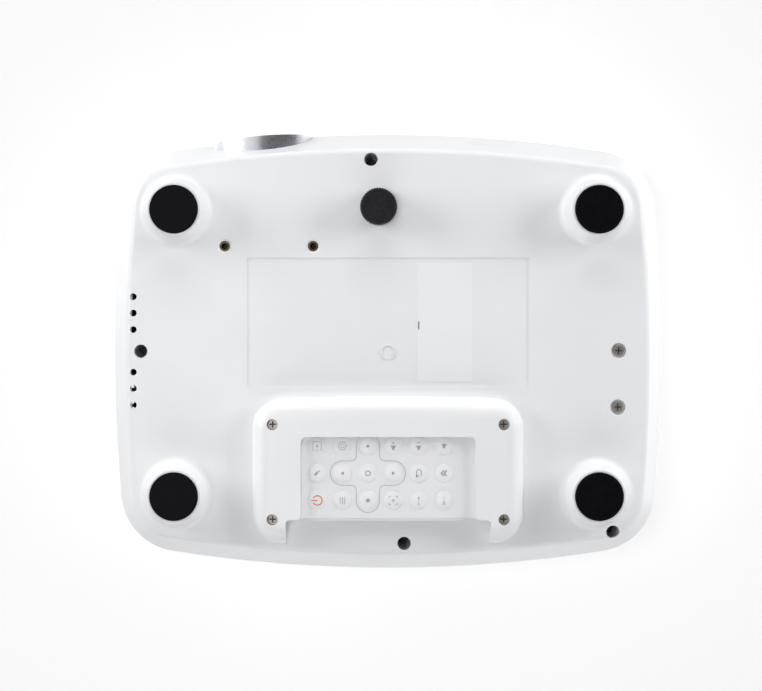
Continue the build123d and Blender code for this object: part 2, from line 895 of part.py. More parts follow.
def foot_knob():
    """Knob with a serrated grip and rounded ends, bored for the stud."""
    step = math.pi / knob_teeth
    points = []
    for i in range(2 * knob_teeth):
        radius = knob_radius - (i % 2) * tooth_depth
        points.append((radius * math.cos(i * step), radius * math.sin(i * step)))
    grip = make_face(Polyline(points, close=True))
    body = extrude(Pos(0, 0, knob_bottom_z) * grip, amount=knob_top_z - knob_bottom_z)
    middle = (knob_bottom_z + knob_top_z) / 2
    round_blank = Pos(0, 0, middle) * Cylinder(knob_radius, knob_top_z - knob_bottom_z)
    round_blank = chamfer(round_blank.edges().filter_by(GeomType.CIRCLE), knob_edge)
    bore = post(0, 0, stud_radius + running_gap, stud_bottom_z - running_gap, knob_top_z)
    return Pos(knob_x, knob_y, 0) * ((body & round_blank) - bore)


# ---------------------------------------------------------------- lens and optics
def lens_bezel():
    """Dish of stepped rings in a rim that stands out of the sloped walls, up to the seam outline."""
    depth = (dish_back_y + 3.0 - dish_front_y) / dish_steps
    mouth = dish_radius - dish_lip
    fall = (mouth - dish_throat) / dish_steps
    front_y = -half_depth - wall
    points = [(dish_radius - fit_gap, dish_back_y), (dish_radius - fit_gap, front_y), (mouth, front_y)]
    for i in range(dish_steps):
        y = dish_front_y + i * depth
        points.append((mouth - i * fall, y))
        points.append((mouth - (i + 0.75) * fall, y + depth))
    points.append((dish_throat, dish_back_y))
    profile = make_face(Polyline(points, close=True))
    ring = Pos(lens_x, 0, lens_z) * revolve(profile, axis=Axis.Y)
    return ring & extrude(outline(bezel_inset), amount=top_z)


def lens_barrel():
    """Barrel with a recessed front, retaining lips and the arm of the focus nut."""
    body = rod_y(lens_x, lens_z, barrel_radius, barrel_front_y, barrel_back_y)
    body = body - rod_y(lens_x, lens_z, barrel_bore, barrel_front_y, barrel_front_y + front_glass_depth + 1.5)
    body = body - rod_y(lens_x, lens_z, rear_glass_radius, barrel_front_y, barrel_back_y)
    screw_x = lens_x + focus_screw_dx
    reach = focus_screw_radius + 2.5
    arm = block(
        (lens_x + barrel_bore + 1.0, screw_x + reach),
        (arm_y, arm_y + arm_thickness),
        (lens_z - arm_half_height, lens_z + arm_half_height),
    )
    arm = arm - rod_y(screw_x, lens_z, focus_screw_radius + running_gap, arm_y, arm_y + arm_thickness)
    return body + arm


def biconvex(radius, crown, edge_thickness):
    """Lens blank along Y with two equally curved faces, centred on the origin."""
    half = edge_thickness / 2
    edge = [
        crown_arc(radius, -half, -half - crown),
        Line((radius, -half), (radius, half)),
        crown_arc(radius, half, half + crown),
        Line((0, half + crown), (0, -half - crown)),
    ]
    return revolve(make_face(Curve() + edge), axis=Axis.Y)


def lens_glass():
    front_y = barrel_front_y + front_glass_depth
    front = Pos(lens_x, front_y - 1.0, lens_z) * biconvex(front_glass_radius, 2.4, 2.0)
    rear = Pos(lens_x, barrel_back_y - 8.0, lens_z) * biconvex(rear_glass_radius - 0.02, 1.5, 2.0)
    return [front, rear]


def box_limits(inset=0.0):
    x = (lens_x - box_half_width + inset, lens_x + box_half_width - inset)
    z = (lens_z - box_half_height + inset, lens_z + box_half_height - inset)
    return x, z


def optical_box():
    """Light-tight box with glass slots and the sleeve that guides the barrel."""
    x, z = box_limits()
    inner_x, inner_z = box_limits(box_wall)
    body = block(x, (box_y0, box_y1), z) - block(inner_x, (box_y0 + box_wall, box_y1 - box_wall), inner_z)
    led_opening = led_size + 6.0
    body = body - Pos(lens_x, box_y1, lens_z) * Box(led_opening, 3 * box_wall, led_opening)
    sleeve_radius = barrel_radius + barrel_gap + sleeve_wall
    body = body + rod_y(lens_x, lens_z, sleeve_radius, sleeve_front_y, box_y0 + box_wall)
    body = body - rod_y(lens_x, lens_z, barrel_radius + barrel_gap, sleeve_front_y, box_y0 + box_wall)
    slot = block(
        (lens_x, lens_x + 2 * barrel_radius),
        (arm_y - focus_travel - slide_gap, arm_y + arm_thickness + slide_gap),
        (lens_z - arm_half_height - slide_gap, lens_z + arm_half_height + slide_gap),
    )
    sleeve_zone = rod_y(lens_x, lens_z, sleeve_radius + 1.0, sleeve_front_y, box_y0)
    body = body - (slot & sleeve_zone)
    screw_x = lens_x + focus_screw_dx
    return body - rod_y(screw_x, lens_z, focus_screw_radius + running_gap, box_y0, box_y0 + box_wall)


def glass_plate(y, thickness, inset):
    """Square glass that reaches the walls of the optical box."""
    x, z = box_limits(box_wall + inset)
    return block(x, (y, y + thickness), z)


def optics_glass():
    return [
        glass_plate(fresnel_y, lens_plate_thickness, barrel_gap),
        glass_plate(panel_y, panel_glass_thickness, barrel_gap),
        glass_plate(condenser_y, lens_plate_thickness, barrel_gap),
        glass_plate(collector_y, collector_thickness, barrel_gap),
    ]


def led_module():
    """Chip on its copper plate, with a finned heat sink behind the optical box."""
    x = (lens_x - heat_sink_half_width, lens_x + heat_sink_half_width)
    z = (lens_z - heat_sink_half_height, lens_z + heat_sink_half_height)
    body = block(x, (box_y1, box_y1 + heat_sink_base), z)
    body = body + Pos(lens_x, box_y1 - led_depth / 2, lens_z) * Box(led_size, led_depth, led_size)
    pitch = (2 * heat_sink_half_width - fin_thickness) / (heat_sink_fins - 1)
    for i in range(heat_sink_fins):
        fin_x = x[0] + i * pitch
        body = body + block((fin_x, fin_x + fin_thickness), (box_y1 + heat_sink_base, heat_sink_y1), z)
    return body


def focus_motor():
    """Small can motor behind the front plate of the optical box."""
    back = box_y0 + box_wall
    screw_x = lens_x + focus_screw_dx
    body = rod_y(screw_x, lens_z, focus_motor_radius, back, back + focus_motor_length)
    bore = focus_screw_radius + running_gap
    return body - rod_y(screw_x, lens_z, bore, back, back + focus_motor_length / 2)


def focus_screw():
    back = box_y0 + box_wall + focus_motor_length / 2
    return rod_y(lens_x + focus_screw_dx, lens_z, focus_screw_radius, focus_screw_front_y, back)


# ---------------------------------------------------------------- fan
def fan_frame():
    """Square frame with a round duct, a motor plate and three struts."""
    x = (fan_outer_x, fan_outer_x + fan_depth)
    half = fan_size / 2
    body = block(x, (fan_y - half, fan_y + half), (fan_z - half, fan_z + half))
    body = body - rod_x(fan_y, fan_z, fan_bore, x[0], x[1])
    body = body + rod_x(fan_y, fan_z, fan_hub_radius, x[1] - fan_plate, x[1])
    for i in range(3):
        strut = block(
            (x[1] - fan_plate, x[1]),
            (fan_hub_radius - 1.0, fan_bore + 1.0),
            (-fan_strut / 2, fan_strut / 2),
        )
        body = body + Pos(0, fan_y, fan_z) * Rot(90 + i * 120, 0, 0) * strut
    return body


def fan_rotor():
    """Hub with pitched blades, turning about X."""
    back = fan_outer_x + fan_depth - fan_plate - slide_gap
    front = fan_outer_x + 1.0
    hub = rod_x(0, 0, fan_hub_radius, front, back)
    tip = fan_bore - blade_gap
    chord = 0.75 * (back - front)
    for i in range(fan_blades):
        blade = Box(blade_thickness, chord * 1.2, tip - fan_hub_radius + 1.5)
        blade = Rot(0, 0, blade_pitch_angle) * blade
        radial = Pos((front + back) / 2, 0, (tip + fan_hub_radius - 1.5) / 2)
        hub = hub + Rot(i * 360 / fan_blades, 0, 0) * radial * blade
    duct = rod_x(0, 0, tip, front, back)
    return Pos(0, fan_y, fan_z) * (hub & duct)


# ---------------------------------------------------------------- disc drive
def hub_x():
    return tray_front_x() - hub_to_front


def tray_front_x():
    return drive_x1 + tray_front_gap


def tray_z():
    bottom = drive_z + sheet + tray_bottom_gap
    return bottom, bottom + tray_thickness


def seat_z():
    """Floor of the disc seat in the tray."""
    return tray_z()[1] - disc_seat_depth


def pocket_z():
    return tray_z()[0] + pocket_floor


def on_sled_axis(shape):
    """Turn a shape from the sled axis into place about the spindle."""
    return Pos(hub_x(), 0, 0) * Rot(0, 0, sled_angle) * shape


def drive_chassis():
    x = (drive_x0, drive_x1)
    y = (-drive_half_width, drive_half_width)
    top = drive_z + drive_height - sheet
    body = block(x, y, (drive_z, top))
    cavity_y = (y[0] + sheet, y[1] - sheet)
    return body - block((x[0] + sheet, x[1]), cavity_y, (drive_z + sheet, top))


def drive_cover():
    top = drive_z + drive_height
    body = block((drive_x0, drive_x1), (-drive_half_width, drive_half_width), (top - sheet, top))
    rib_x = (drive_x0 + cover_rib_margin, drive_x1 - cover_rib_margin)
    rib = block(rib_x, (-cover_rib_width / 2, cover_rib_width / 2), (top, top + cover_rib_height))
    for i in (-1, 0, 1):
        body = body + Pos(0, i * cover_rib_pitch, 0) * rib
    return body


def tray_rails():
    """Two intermediate rails between the tray and the chassis walls."""
    outer = drive_half_width - sheet - fit_gap
    inner = outer - rail_thickness
    middle = (tray_z()[0] + tray_z()[1]) / 2
    z = (middle - rail_height / 2, middle + rail_height / 2)
    x = (rail_x0, rail_x0 + rail_length)
    return [block(x, (inner, outer), z), block(x, (-outer, -inner), z)]


def sled_pocket():
    """Well for the pickup mechanism, on the sled axis before it is turned."""
    z = (pocket_z(), tray_z()[1])
    well = block((pocket_near, pocket_far), (-pocket_half_width, pocket_half_width), z)
    side_y = (-pocket_half_width - screw_pocket_width, -pocket_half_width)
    side = block((screw_pocket_near, screw_pocket_far), side_y, z)
    return well + side


def disc_tray():
    bottom, top = tray_z()
    x = (tray_x0, tray_front_x())
    body = block(x, (-tray_half_width, tray_half_width), (bottom, top))
    body = body - post(hub_x(), 0, disc_seat_radius, seat_z(), top)
    body = body - post(hub_x(), 0, small_seat_radius, seat_z() - small_seat_depth, top)
    body = body - on_sled_axis(sled_pocket())
    rod_z = pocket_z() + rod_lift
    for side in (-1, 1):
        seat = rod_x(side * rod_offset, rod_z, rod_radius, pocket_near - rod_seat, pocket_far + rod_seat)
        body = body - on_sled_axis(seat)
    bore = lead_screw_radius + running_gap
    journal = rod_x(-lead_screw_offset, rod_z, bore, screw_pocket_far, screw_pocket_far + rod_seat)
    body = body - on_sled_axis(journal)
    button_z = drive_z + drive_height / 2
    half_length = eject_length / 2 + eject_flange + slide_gap
    half_height = eject_height / 2 + eject_flange_rise + slide_gap
    depth = eject_flange_depth + eject_travel + 2 * slide_gap
    button_room = block(
        (tray_front_x() - depth, tray_front_x()),
        (eject_y - half_length, eject_y + half_length),
        (button_z - half_height, button_z + half_height),
    )
    return body - button_room


def tray_bezel():
    """Front of the tray: a slice of the casing wall, so its face lies flush."""
    z = (drive_z, drive_z + drive_height)
    y = (-tray_front_half_width, tray_front_half_width)
    body = upper_skin & block((tray_front_x(), half_width + wall), y, z)
    button_z = drive_z + drive_height / 2
    hole_y = (eject_y - eject_length / 2 - eject_gap, eject_y + eject_length / 2 + eject_gap)
    hole_z = (button_z - eject_height / 2 - eject_gap, button_z + eject_height / 2 + eject_gap)
    return body - block((tray_front_x() - wall, half_width + wall), hole_y, hole_z)


def eject_button():
    """Oblong button with a retaining flange behind the tray front."""
    button_z = drive_z + drive_height / 2
    back = tray_front_x() - key_rest_gap
    y = (eject_y - eject_length / 2, eject_y + eject_length / 2)
    z = (button_z - eject_height / 2, button_z + eject_height / 2)
    face = Pos(eject_proud, 0, 0) * upper_skin
    cap = block((back - eject_flange_depth, half_width + wall), y, z) & face
    flange = block(
        (back - eject_flange_depth, back),
        (y[0] - eject_flange, y[1] + eject_flange),
        (z[0] - eject_flange_rise, z[1] + eject_flange_rise),
    )
    return cap + flange


def disc_hub():
    """Spindle motor with a rubber flange and a centring cone for the disc."""
    flange_top = seat_z() + disc_lift
    flange_z = flange_top - spindle_flange_height
    foot_z = pocket_z() + slide_gap
    centre = post(0, 0, spindle_motor_radius, foot_z, flange_z)
    centre = centre + post(0, 0, spindle_flange_radius, flange_z, flange_top)
    cap = post(0, 0, spindle_cap_radius, flange_top, flange_top + spindle_cap_height)
    cap = chamfer(cap.edges().group_by(Axis.Z)[-1], spindle_cap_edge)
    centre = centre + cap
    cap_top = flange_top + spindle_cap_height
    dimple = post(0, 0, spindle_dimple_radius, cap_top - spindle_cap_edge, cap_top)
    return Pos(hub_x(), 0, 0) * (centre - dimple)


def pickup_sled():
    """Sled on two rods, with an arm to the lead screw and the lens in its ring."""
    low = pocket_z() + sled_floor_gap
    z = (low, low + sled_height)
    body = block((sled_near, sled_far), (-sled_half_width, sled_half_width), z)
    arm_y_span = (-lead_screw_offset - lead_screw_radius - sled_arm_wall, -sled_half_width)
    body = body + block((sled_arm_near, sled_arm_far), arm_y_span, z)
    rod_z = pocket_z() + rod_lift
    for side in (-1, 1):
        body = body - rod_x(side * rod_offset, rod_z, rod_radius + sled_gap, sled_near, sled_far)
    body = body - rod_x(-lead_screw_offset, rod_z, lead_screw_radius + sled_gap, sled_arm_near, sled_arm_far)
    body = body - block((sled_near, sled_far), sled_groove_y, (z[1] - sled_groove_depth, z[1]))
    body = body - post(0, 0, lens_ring_radius, z[1] - lens_ring_depth, z[1])
    body = body + post(0, 0, lens_dome_radius, z[1] - lens_ring_depth, z[1] + lens_dome_height)
    return on_sled_axis(Pos(read_radius_min, 0, 0) * body)


def lead_screw():
    rod_z = pocket_z() + rod_lift
    start = screw_pocket_near + stepper_length
    return on_sled_axis(
        rod_x(-lead_screw_offset, rod_z, lead_screw_radius, start, screw_pocket_far + rod_seat - 0.3)
    )


def rods_and_stepper():
    """Guide rods seated in the tray, and the stepper can that turns the screw."""
    rod_z = pocket_z() + rod_lift
    parts = []
    for side in (-1, 1):
        rod = rod_x(side * rod_offset, rod_z, rod_radius, pocket_near - rod_seat, pocket_far + rod_seat)
        parts.append(on_sled_axis(rod))
    start = screw_pocket_near
    can = rod_x(-lead_screw_offset, rod_z, stepper_radius, start, start + stepper_length - 0.3)
    parts.append(on_sled_axis(can))
    return parts


# ---------------------------------------------------------------- top keys
def top_key(x, y):
    flange_top = top_z - wall - key_rest_gap
    flange_bottom = flange_top - top_key_flange_height
    cap_top = top_z - key_field_depth + key_field_proud + key_proud
    cap = post(x, y, top_key_radius, flange_top, cap_top)
    cap = fillet(cap.edges().group_by(Axis.Z)[-1], top_key_edge)
    body = cap + post(x, y, top_key_flange, flange_bottom, flange_top)
    return body + post(x, y, stem_radius, flange_bottom - stem_length, flange_bottom)


# ---------------------------------------------------------------- boards
def connector_places():
    """Name, centre X, width and height of each connector on the main board."""
    return [
        ("box", -12.0, hdmi_size),
        ("box", 21.0, usb_size),
        ("jack", 35.0, None),
        ("jack", 46.0, None),
        ("box", 60.0, usb_size),
    ]


def main_board():
    z = (main_board_z, main_board_z + board_thickness)
    board = block(main_board_x, main_board_y, z)
    for x, y in deep_wells:
        board = board - post(x, y, well_radius + boss_wall + board_cut_gap, z[0], z[1])
    chip = block(chip_x, chip_y, (z[1], z[1] + chip_height))
    sink = block(sink_x, sink_y, (z[1], z[1] + sink_height))
    return board + chip + sink


def power_board():
    z = (power_board_z, power_board_z + board_thickness)
    board = block(power_board_x, power_board_y, z)
    for x, y in shallow_wells:
        board = board - post(x, y, screw_hole_radius + fit_gap, z[0], z[1])
    for x, y in drive_post_points():
        board = board - post(x, y, board_post_radius + board_cut_gap, z[0], z[1])
    transformer = block(transformer_x, transformer_y, (z[1], z[1] + transformer_height))
    capacitor = post(*capacitor_place, capacitor_radius, z[1], z[1] + capacitor_height)
    coil = post(*coil_place, coil_radius, z[1], z[1] + coil_height)
    return board + transformer + capacitor + coil


def key_board():
    top = key_board_z()
    first, last = key_board_ends()
    y = (top_key_y - key_board_half_depth, top_key_y + key_board_half_depth)
    board = block((first, last), y, (top - key_board_thickness, top))
    for x, key_y in top_key_points():
        board = board + Pos(x, key_y, top + switch_height / 2) * Box(switch_size, switch_size, switch_height)
    return board


def circuit_boards():
    return [main_board(), power_board(), key_board()]


def panel_face_y(x, z):
    """Where the outer face of the recessed panel lies behind a point of the rear wall."""
    drawn_in = seam_step + panel_inset + (z - seam_z) * math.tan(math.radians(upper_draft))
    return half_depth - drawn_in - x * x / (2 * front_arc_radius)


def box_connector(x, size):
    """Metal shell with a tongue, standing on the main board."""
    z0 = main_board_z + board_thickness
    front = panel_face_y(x, z0) + connector_proud
    outer_y = (front - box_connector_depth, front)
    outer = block((x - size[0] / 2, x + size[0] / 2), outer_y, (z0, z0 + size[1]))
    s = connector_shell
    back = front - box_connector_depth + connector_back
    inner = block((x - size[0] / 2 + s, x + size[0] / 2 - s), (back, front), (z0 + s, z0 + size[1] - s))
    middle = z0 + size[1] / 2
    thickness = min(tongue, size[1] / 4)
    blade_z = (middle - thickness / 2, middle + thickness / 2)
    blade = block((x - size[0] / 4, x + size[0] / 4), (back - s, front - tongue), blade_z)
    return (outer - inner) + blade


def jack_connector(x):
    z0 = main_board_z + board_thickness
    middle = z0 + jack_radius
    front = panel_face_y(x, middle) + connector_proud
    collar = panel_inset + panel_thickness + jack_collar_gap
    body_z = (z0, z0 + 2 * jack_radius)
    body = block((x - jack_radius, x + jack_radius), (front - jack_depth, front - collar), body_z)
    body = body + rod_y(x, middle, jack_nose_radius, front - collar, front)
    return body - rod_y(x, middle, jack_bore, front - jack_depth + connector_back, front)


def io_connectors():
    parts = []
    for kind, x, size in connector_places():
        parts.append(box_connector(x, size) if kind == "box" else jack_connector(x))
    return parts


def rear_panel():
    """Sheet in the rear opening that follows the wall, cut for the connectors."""
    panel = wall_slice(panel_inset, panel_thickness, panel_region(grille_gap))
    z0 = main_board_z + board_thickness
    span = (half_depth - 6 * wall, half_depth + wall)
    for kind, x, size in connector_places():
        if kind == "box":
            width = size[0] / 2 + connector_gap
            z = (z0 - connector_gap, z0 + size[1] + connector_gap)
            panel = panel - block((x - width, x + width), span, z)
        else:
            hole_radius = jack_nose_radius + connector_gap
            panel = panel - rod_y(x, z0 + jack_radius, hole_radius, span[0], span[1])
    return panel


def ac_inlet():
    """Three-pin mains inlet; its pins stand back from the mouth."""
    face_y = panel_face_y(inlet_x, inlet_z)
    x = (inlet_x - inlet_width / 2, inlet_x + inlet_width / 2)
    z = (inlet_z - inlet_height / 2, inlet_z + inlet_height / 2)
    body = block(x, (face_y - inlet_depth, face_y), z)
    cavity_x = (x[0] + inlet_wall, x[1] - inlet_wall)
    cavity_z = (z[0] + inlet_wall, z[1] - inlet_wall)
    floor_y = face_y - inlet_depth + inlet_floor
    cavity = block(cavity_x, (floor_y, face_y), cavity_z)
    corners = cavity.edges().filter_by(Axis.Y).sort_by(Axis.Z)[-2:]
    body = body - chamfer(corners, inlet_corner)
    pins = [(-inlet_pin_spacing, -inlet_pin_drop), (0, inlet_pin_drop), (inlet_pin_spacing, -inlet_pin_drop)]
    for dx, dz in pins:
        pin = Box(inlet_pin_width, inlet_pin_length, inlet_pin_height)
        pin_y = floor_y - inlet_pin_root + inlet_pin_length / 2
        body = body + Pos(inlet_x + dx, pin_y, inlet_z + dz) * pin
    return body


def speakers():
    """Oblong speakers behind the right grille: frame, magnet and cone recess."""
    parts = []
    z_mid = (speaker_z[0] + speaker_z[1]) / 2
    half_height = (speaker_z[1] - speaker_z[0]) / 2
    back = speaker_front_x - speaker_depth
    for side in (-1, 1):
        y = side * speaker_y
        span = (y - speaker_half_length, y + speaker_half_length)
        body = block((speaker_front_x - speaker_flange, speaker_front_x), span, speaker_z)
        basket_y = (span[0] + 2 * speaker_edge, span[1] - 2 * speaker_edge)
        basket_z = (speaker_z[0] + speaker_edge, speaker_z[1] - speaker_edge)
        magnet_front = back + speaker_magnet_depth
        body = body + block((magnet_front, speaker_front_x - speaker_flange), basket_y, basket_z)
        body = body + rod_x(y, z_mid, half_height - speaker_edge / 2, back, magnet_front)
        cone_y = (span[0] + 4 * speaker_edge, span[1] - 4 * speaker_edge)
        cone_z = (speaker_z[0] + 2 * speaker_edge, speaker_z[1] - 2 * speaker_edge)
        parts.append(body - block((speaker_front_x - speaker_cone_depth, speaker_front_x), cone_y, cone_z))
    return parts


# ---------------------------------------------------------------- write the nodes
def nodes():
    made = {
        "lower_housing": lower_housing(),
        "upper_housing": upper_housing(),
        "lens_bezel": lens_bezel(),
        "air_grilles": air_grilles(),
        "rear_panel": rear_panel(),
        "io_connectors": io_connectors(),
        "ac_inlet": ac_inlet(),
        "foot_pads": foot_pads(),
        "threaded_inserts": threaded_inserts(),
        "case_screws": case_screws(),
        "holder_bezel": holder_bezel(),
        "blank_label": blank_label(),
        "stand_offs": stand_offs(),
        "optical_box": optical_box(),
        "led_module": led_module(),
        "optics_glass": optics_glass(),
        "fan_frame": fan_frame(),
        "circuit_boards": circuit_boards(),
        "speakers": speakers(),
        "drive_case": [drive_chassis(), drive_cover()],
        "focus_motor": focus_motor(),
        "lens_barrel": lens_barrel(),
        "lens_glass": lens_glass(),
        "focus_screw": focus_screw(),
        "fan_rotor": fan_rotor(),
        "disc_tray": disc_tray(),
        "tray_bezel": tray_bezel(),
        "tray_rails": tray_rails(),
        "rods_and_stepper": rods_and_stepper(),
        "disc_hub": disc_hub(),
        "pickup_sled": pickup_sled(),
        "lead_screw": lead_screw(),
        "eject_button": eject_button(),
        "foot_stud": foot_stud(),
        "foot_knob": foot_knob(),
        "remote_case": remote_case(),
        "remote_face": remote_face(),
        "battery_tray": battery_tray(),
    }
    top_key_names = ["power_key", "source_key", "volume_down_key", "volume_up_key"]
    for name, point in zip(top_key_names, top_key_points()):
        made[name] = top_key(*point)
    for i, point in enumerate(remote_key_points()):
        made[f"remote_key_{i + 1:02d}"] = remote_key(*point)
    return made


def main():
    os.makedirs("parts", exist_ok=True)
    for name, shape in nodes().items():
        if isinstance(shape, list):
            shape = Compound(children=shape)
        export_step(shape, f"parts/{name}.step")


main()
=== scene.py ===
import math

import bmesh
import bpy
from mathutils import Matrix, Vector


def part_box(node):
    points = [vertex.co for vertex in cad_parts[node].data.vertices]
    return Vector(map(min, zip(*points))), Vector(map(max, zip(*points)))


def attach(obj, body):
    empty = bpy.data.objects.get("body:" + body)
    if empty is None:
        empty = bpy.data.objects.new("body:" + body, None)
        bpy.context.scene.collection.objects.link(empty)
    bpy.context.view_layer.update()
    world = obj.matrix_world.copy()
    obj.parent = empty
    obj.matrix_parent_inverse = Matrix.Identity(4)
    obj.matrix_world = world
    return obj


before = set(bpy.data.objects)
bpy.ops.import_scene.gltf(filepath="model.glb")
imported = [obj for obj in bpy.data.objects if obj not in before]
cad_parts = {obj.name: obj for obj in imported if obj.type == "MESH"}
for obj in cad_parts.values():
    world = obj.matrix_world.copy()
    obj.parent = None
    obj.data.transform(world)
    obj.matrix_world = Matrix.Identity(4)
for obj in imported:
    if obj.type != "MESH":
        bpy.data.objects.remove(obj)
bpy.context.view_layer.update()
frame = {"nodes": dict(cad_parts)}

scene = bpy.context.scene
MM = 0.001

# ---------------------------------------------------------------- camera

CAMERA_PLACE = (-0.0034, -0.0028, -0.986)
CAMERA_LENS = 99.0
SENSOR_WIDTH = 36.0
CLIP_START = 0.01


def make_camera():
    """Looks straight up at the base, with the front edge at the top of the picture."""
    data = bpy.data.cameras.new("camera")
    data.lens = CAMERA_LENS
    data.sensor_width = SENSOR_WIDTH
    data.clip_start = CLIP_START
    camera = bpy.data.objects.new("camera", data)
    scene.collection.objects.link(camera)
    facing_up = Matrix(((1, 0, 0), (0, -1, 0), (0, 0, -1))).to_4x4()
    camera.matrix_world = Matrix.Translation(CAMERA_PLACE) @ facing_up
    scene.camera = camera


# ---------------------------------------------------------------- node helpers


class Shader:
    """One material and the few node calls that the materials below share."""

    def __init__(self, name):
        self.material = bpy.data.materials.new(name)
        self.material.use_nodes = True
        self.tree = self.material.node_tree
        self.bsdf = self.tree.nodes["Principled BSDF"]
        self.place = self.add("ShaderNodeTexCoord").outputs["Object"]

    def add(self, kind, **settings):
        node = self.tree.nodes.new(kind)
        for key, value in settings.items():
            setattr(node, key, value)
        return node

    def join(self, source, target):
        self.tree.links.new(source, target)

    def fixed(self, **values):
        """Shader sockets that have one value everywhere."""
        for key, value in values.items():
            self.bsdf.inputs[key.replace("_", " ")].default_value = value

    def noise(self, scale, detail=3.0, roughness=0.5, source=None):
        node = self.add("ShaderNodeTexNoise")
        node.inputs["Scale"].default_value = scale
        node.inputs["Detail"].default_value = detail
        node.inputs["Roughness"].default_value = roughness
        self.join(source or self.place, node.inputs["Vector"])
        return node.outputs["Fac"]

    def stretched(self, factors):
        """The object coordinates multiplied along each axis, for brushed and moulded directions."""
        node = self.add("ShaderNodeVectorMath", operation="MULTIPLY")
        self.join(self.place, node.inputs[0])
        node.inputs[1].default_value = factors
        return node.outputs["Vector"]

    def spread(self, value, low, high, from_low=0.3, from_high=0.7):
        node = self.add("ShaderNodeMapRange")
        node.inputs["From Min"].default_value = from_low
        node.inputs["From Max"].default_value = from_high
        node.inputs["To Min"].default_value = low
        node.inputs["To Max"].default_value = high
        self.join(value, node.inputs["Value"])
        return node.outputs["Result"]

    def colours(self, value, stops):
        node = self.add("ShaderNodeValToRGB")
        ramp = node.color_ramp
        while len(ramp.elements) < len(stops):
            ramp.elements.new(0.5)
        for element, (at, colour) in zip(ramp.elements, stops):
            element.position = at
            element.color = (*colour, 1.0)
        self.join(value, node.inputs["Fac"])
        return node.outputs["Color"]

    def radius_about(self, centre, axis):
        """The distance from a line through centre along one world axis."""
        shift = self.add("ShaderNodeVectorMath", operation="SUBTRACT")
        self.join(self.place, shift.inputs[0])
        shift.inputs[1].default_value = centre
        flat = self.add("ShaderNodeVectorMath", operation="MULTIPLY")
        self.join(shift.outputs["Vector"], flat.inputs[0])
        flat.inputs[1].default_value = tuple(0.0 if i == axis else 1.0 for i in range(3))
        length = self.add("ShaderNodeVectorMath", operation="LENGTH")
        self.join(flat.outputs["Vector"], length.inputs[0])
        return length.outputs["Value"]

    def math(self, kind, first, second=None):
        node = self.add("ShaderNodeMath", operation=kind)
        for i, value in enumerate((first, second)):
            if value is None:
                continue
            if isinstance(value, (int, float)):
                node.inputs[i].default_value = value
            else:
                self.join(value, node.inputs[i])
        return node.outputs["Value"]

    def bump(self, height, depth, strength):
        node = self.add("ShaderNodeBump")
        node.inputs["Strength"].default_value = strength
        node.inputs["Distance"].default_value = depth
        self.join(height, node.inputs["Height"])
        return node.outputs["Normal"]

    def finish(self, colour=None, roughness=None, normal=None):
        for key, value in (("Base Color", colour), ("Roughness", roughness), ("Normal", normal)):
            if value is not None:
                self.join(value, self.bsdf.inputs[key])
        return self.material


def shade(colour, factor):
    return tuple(min(1.0, c * factor) for c in colour)


MILKY_REACH = 0.0012


def moulded(name, colour, rough, texture=1400.0, depth=0.00002, variation=0.012, milky=0.0):
    """Moulded plastic: spark-eroded grain, slow flow shading and a little sheen variation."""
    s = Shader(name)
    flow = s.noise(28.0, 2.0)
    grain = s.noise(texture, 2.0, 0.6)
    mottle = s.noise(220.0, 3.0)
    darker, lighter = shade(colour, 1.0 - variation), shade(colour, 1.0 + variation)
    tint = s.colours(flow, ((0.35, darker), (0.65, lighter)))
    sheen = s.spread(mottle, rough - 0.04, rough + 0.05)
    normal = s.bump(grain, depth, 0.35)
    s.fixed(Subsurface_Weight=milky, Subsurface_Radius=(1.0, 1.0, 1.0))
    s.fixed(Subsurface_Scale=MILKY_REACH)
    return s.finish(tint, sheen, normal)


def rubber(name, colour):
    """Foamed rubber: fine pores, a dusty sheen and no gloss."""
    s = Shader(name)
    pores = s.add("ShaderNodeTexVoronoi")
    pores.inputs["Scale"].default_value = 1500.0
    s.join(s.place, pores.inputs["Vector"])
    dust = s.noise(160.0, 4.0, 0.65)
    tint = s.colours(dust, ((0.3, shade(colour, 0.8)), (0.75, shade(colour, 1.35))))
    rough = s.spread(dust, 0.62, 0.8)
    normal = s.bump(pores.outputs["Distance"], 0.00008, 0.5)
    s.fixed(Specular_IOR_Level=0.06)
    return s.finish(tint, rough, normal)


def metal(name, colour, rough, grain=(1.0, 1.0, 1.0), scale=900.0, depth=0.00001):
    """Machined or drawn metal, its grain drawn out along the axes with small factors."""
    s = Shader(name)
    lines = s.noise(scale, 4.0, 0.6, s.stretched(grain))
    stain = s.noise(120.0, 3.0)
    tint = s.colours(stain, ((0.3, shade(colour, 0.88)), (0.7, shade(colour, 1.08))))
    sheen = s.spread(lines, rough - 0.07, rough + 0.09)
    normal = s.bump(lines, depth, 0.4)
    s.fixed(Metallic=1.0)
    return s.finish(tint, sheen, normal)


def turned(name, colour, centre, axis, rough, pitch):
    """Turned metal: fine tool rings about an axis, over a soft change of tint."""
    s = Shader(name)
    turns = s.math("MULTIPLY", s.radius_about(centre, axis), 2.0 * math.pi / pitch)
    rings = s.math("SINE", turns)
    stain = s.noise(90.0, 3.0)
    tint = s.colours(stain, ((0.3, shade(colour, 0.9)), (0.7, shade(colour, 1.1))))
    sheen = s.spread(s.noise(700.0, 2.0), rough - 0.05, rough + 0.06)
    normal = s.bump(rings, 0.00002, 0.5)
    s.fixed(Metallic=1.0)
    return s.finish(tint, sheen, normal)


